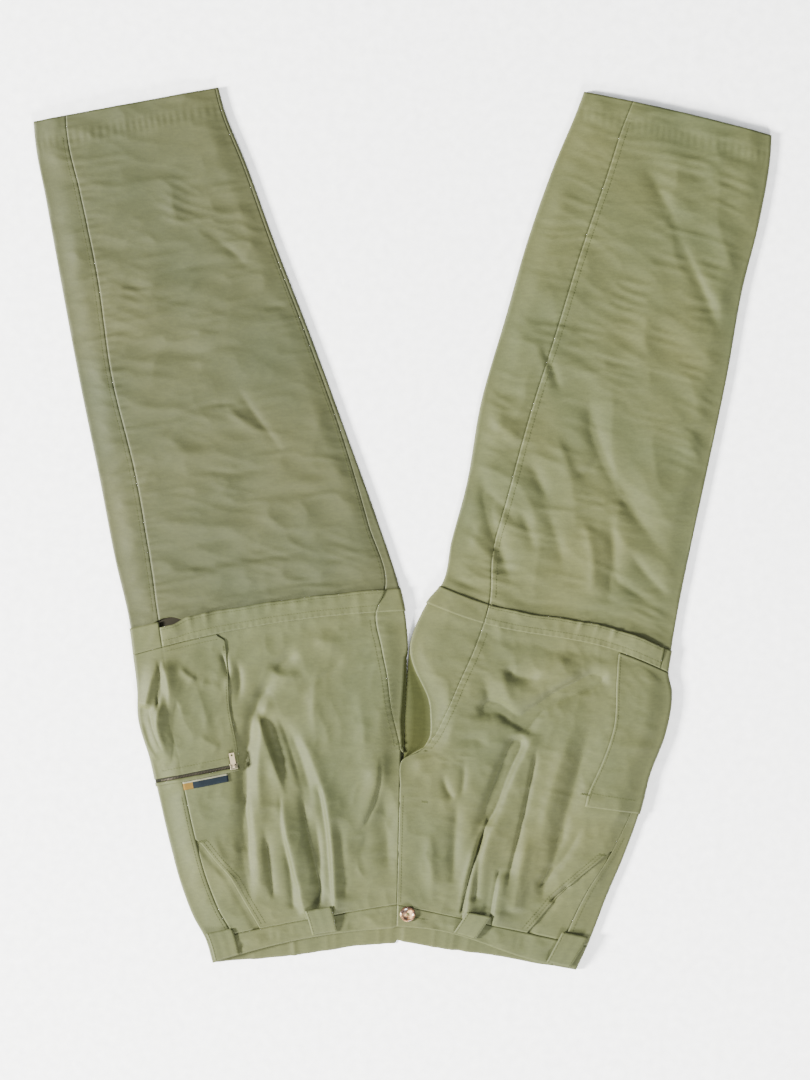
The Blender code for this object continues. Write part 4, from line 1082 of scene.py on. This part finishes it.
def loop_grid(side, first, last, lean, start, end):
    """A belt loop, straight from end to end and just clear of the cloth below."""
    rows = np.linspace(start, end, 15)
    share = (rows - start) / (end - start)
    low = first + lean * share
    high = last + lean * share
    ridge = np.full(rows.shape, -1e9)
    for shift in np.linspace(-4.0, 4.0, 5):
        near = np.clip(rows + shift, start, end)
        for t in np.linspace(0, 1, 25):
            ridge = np.maximum(ridge, top(side, near, low * (1 - t) + high * t)[..., 2])
    grid = span(side, rows, low, high, STEP)
    t = np.linspace(0, 1, grid.shape[1])[None, :]
    straight = ridge[0] + (ridge[-1] - ridge[0]) * share
    straight = straight + np.max(ridge - straight)
    arch = straight + LAYER + 0.1 + 0.5 * np.sin(math.pi * share)
    grid[..., 2] = arch[:, None] + 0.25 * np.sin(9 * t) ** 2
    return grid


CORNERS = tuple((x, y, z) for z in (-1, 1) for x, y in ((-1, -1), (1, -1), (1, 1), (-1, 1)))
BOX_FACES = ((0, 3, 2, 1), (4, 5, 6, 7), (0, 1, 5, 4), (1, 2, 6, 5), (2, 3, 7, 6), (3, 0, 4, 7))


def stitches(name, lines, finish, length=2.5, pitch=3.4, thick=0.55):
    """Rows of stitches along lines of points, joined into one mesh."""
    points = []
    faces = []
    for line in lines:
        line = np.asarray(line, float)
        steps = np.linalg.norm(np.diff(line, axis=0), axis=1)
        total = np.concatenate([[0.0], np.cumsum(steps)])
        for place in np.arange(pitch / 2, total[-1], pitch):
            centre, ahead, back = (np.array([np.interp(spot, total, line[:, k]) for k in range(3)])
                                   for spot in (place, min(place + 1.0, total[-1]), max(place - 1.0, 0.0)))
            forward = (ahead - back) / max(np.linalg.norm(ahead - back), 1e-9)
            aside = np.cross((0, 0, 1), forward)
            aside /= max(np.linalg.norm(aside), 1e-9)
            up = np.cross(forward, aside)
            faces += [tuple(len(points) + k for k in face) for face in BOX_FACES]
            points += [centre + forward * x * length / 2 * (0.8 if z > 0 else 1.0) + aside * y * thick / 2
                       + up * z * 0.18 for x, y, z in CORNERS]
    return mesh_piece(name, points, faces, [finish])


def on_cloth(points):
    """The same line, just clear of the cloth that it is sewn through."""
    return points + (0.0, 0.0, STITCH_CLEAR)


def line_on(side, runs, us, out=0.0, count=160):
    """Points on top of the cloth between given runs and places across."""
    t = np.linspace(0, 1, count)
    run = runs[0] + (runs[1] - runs[0]) * t
    return on_cloth(top(side, run, us[0] + (us[1] - us[0]) * t, out))


def edge_line(side, edge, start, end, offset, count, out=0.0):
    """A line beside an edge of the cloth, offset millimetres towards the inner edge."""
    run = np.linspace(start, end, count)
    return on_cloth(top(side, run, edge(run) + offset / width(side, run), out))


def seam_line(side, seam, start, end, offset):
    return edge_line(side, lambda run: seam(side, run), start, end, offset, int(abs(end - start) / 2.0) + 2)


# Side, seam, the runs where the line starts and ends, and how far from the seam it is
SEAM_LINES = (
    (LEFT, out_seam, 24, 600, -6.0),
    (LEFT, in_seam, 200, 606, -5.0),
    (RIGHT, in_seam, 24, 600, -6.0),
    (LEFT, in_seam, 650, 800, -7.0),
    (RIGHT, in_seam, 642, 782, -7.0),
    (LEFT, out_seam, 812, 978, -5.0),
    (RIGHT, out_seam, 860, 978, -5.0),
)

# Side, run, place across, height over the cloth and width of each bartack
TACKS = (
    (LEFT, 865.0, 0.118, 0.0, 9.0),
    (RIGHT, 882.0, 0.075, 0.0, 9.0),
    (RIGHT, 812.0, 0.21, LAYER, 12.0),
    (RIGHT, 846.0, 0.88, 0.0, 8.0),
    (LEFT, 798.0, 0.975, 0.0, 7.0),
)


def build_stitching():
    lines = []
    for side in SIDES:
        lines.append(line_on(side, (20.0, 20.0), (0.015, 0.985)))
        flap = flap_front(side)
        lines += [on_cloth(flap[row]) for row in (2, -5)]
        start, end = side.mouth["run"][0] + 2, side.waist - 4
        for inset in (4.0, 9.0):
            lines.append(edge_line(side, lambda run: front_edge(side, run), start, end, inset, 60))
    lines += [seam_line(*row) for row in SEAM_LINES]
    lines.append(edge_line(RIGHT, lambda run: 1.0, 842, 976, -4.0, 70))
    lines.append(edge_line(LEFT, lambda run: LEFT.pocket_edge[0], 656, 783, -3.0, 60, LAYER))
    lines.append(line_on(LEFT, (648, 648), (0.12, 0.31), LAYER))
    lines.append(line_on(LEFT, (776, 776), (0.03, 0.33), LAYER))
    lines.append(edge_line(RIGHT, right_pocket_edge, 638, 826, -3.0, 90, LAYER))
    lines.append(line_on(RIGHT, (810, 810), (0.03, 0.22), LAYER))
    for name, *shape in LOOPS:
        grid = loop_grid(*shape)
        lines += [on_cloth(grid[:, column]) for column in (1, -2)]
    stitches("topstitching", lines, THREAD)
    tacks = []
    for side, run, u, out, across in TACKS:
        end = u + across / width(side, np.array(run))
        tacks += [line_on(side, (row, row), (u, end), out, 20) for row in (run, run + 1.2)]
    run = RIGHT.waist + 12.0
    length = width(RIGHT, np.array(run))
    tacks.append(line_on(RIGHT, (run, run + 0.6), (1.0 - 22.0 / length, 1.0 - 34.0 / length), 0.9, 20))
    stitches("bartacks", tacks, THREAD, 1.6, 1.9, 0.7)


def build_teeth():
    """Teeth of the cargo zip and of the knee zips."""
    stitches("cargo_zip_teeth", [line_on(LEFT, (787.8, 787.8), (0.02, 0.30), 0.2)], DARK_METAL, 0.9, 1.8, 1.8)
    runs = [(side, (side.zip[0] + side.zip[1]) / 2) for side in SIDES]
    lines = [line_on(side, (run, run), (0.02, 0.97)) for side, run in runs]
    stitches("knee_zip_teeth", lines, KNEE_TAPE, 1.0, 2.0, 3.0)


# Radius and height of the button's outline, from the middle of its top round to its underside
BUTTON_OUTLINE = ((0.0, 1.35), (4.6, 1.40), (5.6, 1.55), (6.4, 2.3), (7.2, 2.65), (8.0, 2.6), (8.7, 2.1),
                  (9.0, 1.4), (8.6, 0.5), (7.4, 0.05), (0.0, 0.0))


def build_button():
    """Button turned from its outline, and the cross of its thread."""
    low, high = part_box("button")
    middle = np.array([(low[0] + high[0]) / 2, (low[1] + high[1]) / 2, low[2]])
    centre = middle / MM + (CENTRE_X, CENTRE_Y, 0.0)
    around = 48
    angles = [2 * math.pi * k / around for k in range(around)]
    points = [centre + (radius * math.cos(angle), radius * math.sin(angle), height)
              for radius, height in BUTTON_OUTLINE for angle in angles]
    faces = []
    for r in range(len(BUTTON_OUTLINE) - 1):
        for k in range(around):
            n = (k + 1) % around
            faces.append((r * around + k, r * around + n, (r + 1) * around + n, (r + 1) * around + k))
    piece = mesh_piece("waist_button", points, faces, [HORN])
    even_out(piece.data, 0.000005)
    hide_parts("button")
    thread = []
    for angle in (math.pi / 4, 3 * math.pi / 4):
        reach = np.array([math.cos(angle), math.sin(angle), 0.0]) * 2.3
        thread.append([centre - reach + (0, 0, 1.6), centre + (0, 0, 1.9), centre + reach + (0, 0, 1.6)])
    stitches("button_thread", thread, THREAD, 2.3, 2.3, 0.8)


def paint_metal():
    for node in ("left_cargo_slider", "left_knee_slider", "right_knee_slider"):
        paint(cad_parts[node], METAL)
    paint(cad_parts["left_cargo_pull"], BRASS)


def paint(piece, finish):
    piece.data.materials.clear()
    piece.data.materials.append(finish)


FLOOR_HALF = 4.0
FLOOR_DROP = -0.0003
WORLD_COLOUR = (0.95, 0.98, 1.0, 1.0)
WORLD_STRENGTH = 0.95
CAMERA_PLACE = (0.0029, -0.0133, 3.006)
SENSOR = 24.0
LENS = SENSOR * 3.0 / 1.264

# Name, place in metres, size, power and colour of each lamp
LAMPS = (
    ("key", (-6.3, -0.9, 2.7), 1.3, 4300.0, (1.0, 0.99, 0.96)),
    ("side", (1.6, -6.1, 2.9), 1.6, 1500.0, (1.0, 0.99, 0.97)),
    ("fill", (1.5, -1.0, 3.0), 2.2, 60.0, (0.97, 0.99, 1.0)),
)


def place_in_scene(name, data, place):
    holder = bpy.data.objects.new(name, data)
    holder.location = place
    bpy.context.scene.collection.objects.link(holder)
    return holder


def build_studio():
    mesh = bpy.data.meshes.new("floor")
    corners = [(x * FLOOR_HALF, y * FLOOR_HALF, FLOOR_DROP) for x, y in ((-1, -1), (1, -1), (1, 1), (-1, 1))]
    mesh.from_pydata(corners, [], [(0, 1, 2, 3)])
    mesh.materials.append(material("paper", (0.93, 0.93, 0.93), 0.95))
    place_in_scene("floor", mesh, (0.0, 0.0, 0.0))
    world = bpy.data.worlds.new("studio")
    bpy.context.scene.world = world
    world.use_nodes = True
    background = world.node_tree.nodes["Background"].inputs
    background["Color"].default_value = WORLD_COLOUR
    background["Strength"].default_value = WORLD_STRENGTH
    for name, place, size, power, colour in LAMPS:
        light = bpy.data.lights.new(name, "AREA")
        light.size = size
        light.energy = power
        light.color = colour
        lamp = place_in_scene(name, light, place)
        lamp.rotation_euler = (-Vector(place)).to_track_quat("-Z", "Y").to_euler()
    camera = bpy.data.cameras.new("camera")
    camera.sensor_fit = "VERTICAL"
    camera.sensor_height = SENSOR
    camera.lens = LENS
    camera.clip_end = 20.0
    bpy.context.scene.camera = place_in_scene("camera", camera, CAMERA_PLACE)


def main():
    for side in SIDES:
        build_leg(side)
        build_flap(side)
        build_seat(side)
        build_facing(side)
    build_left_pocket()
    build_right_pocket()
    build_waistband()
    build_shield()
    for name, *shape in LOOPS:
        cloth(name + "_cloth", [loop_grid(*shape)], CLOTH)
    build_stitching()
    build_teeth()
    build_button()
    paint_metal()
    build_studio()


main()
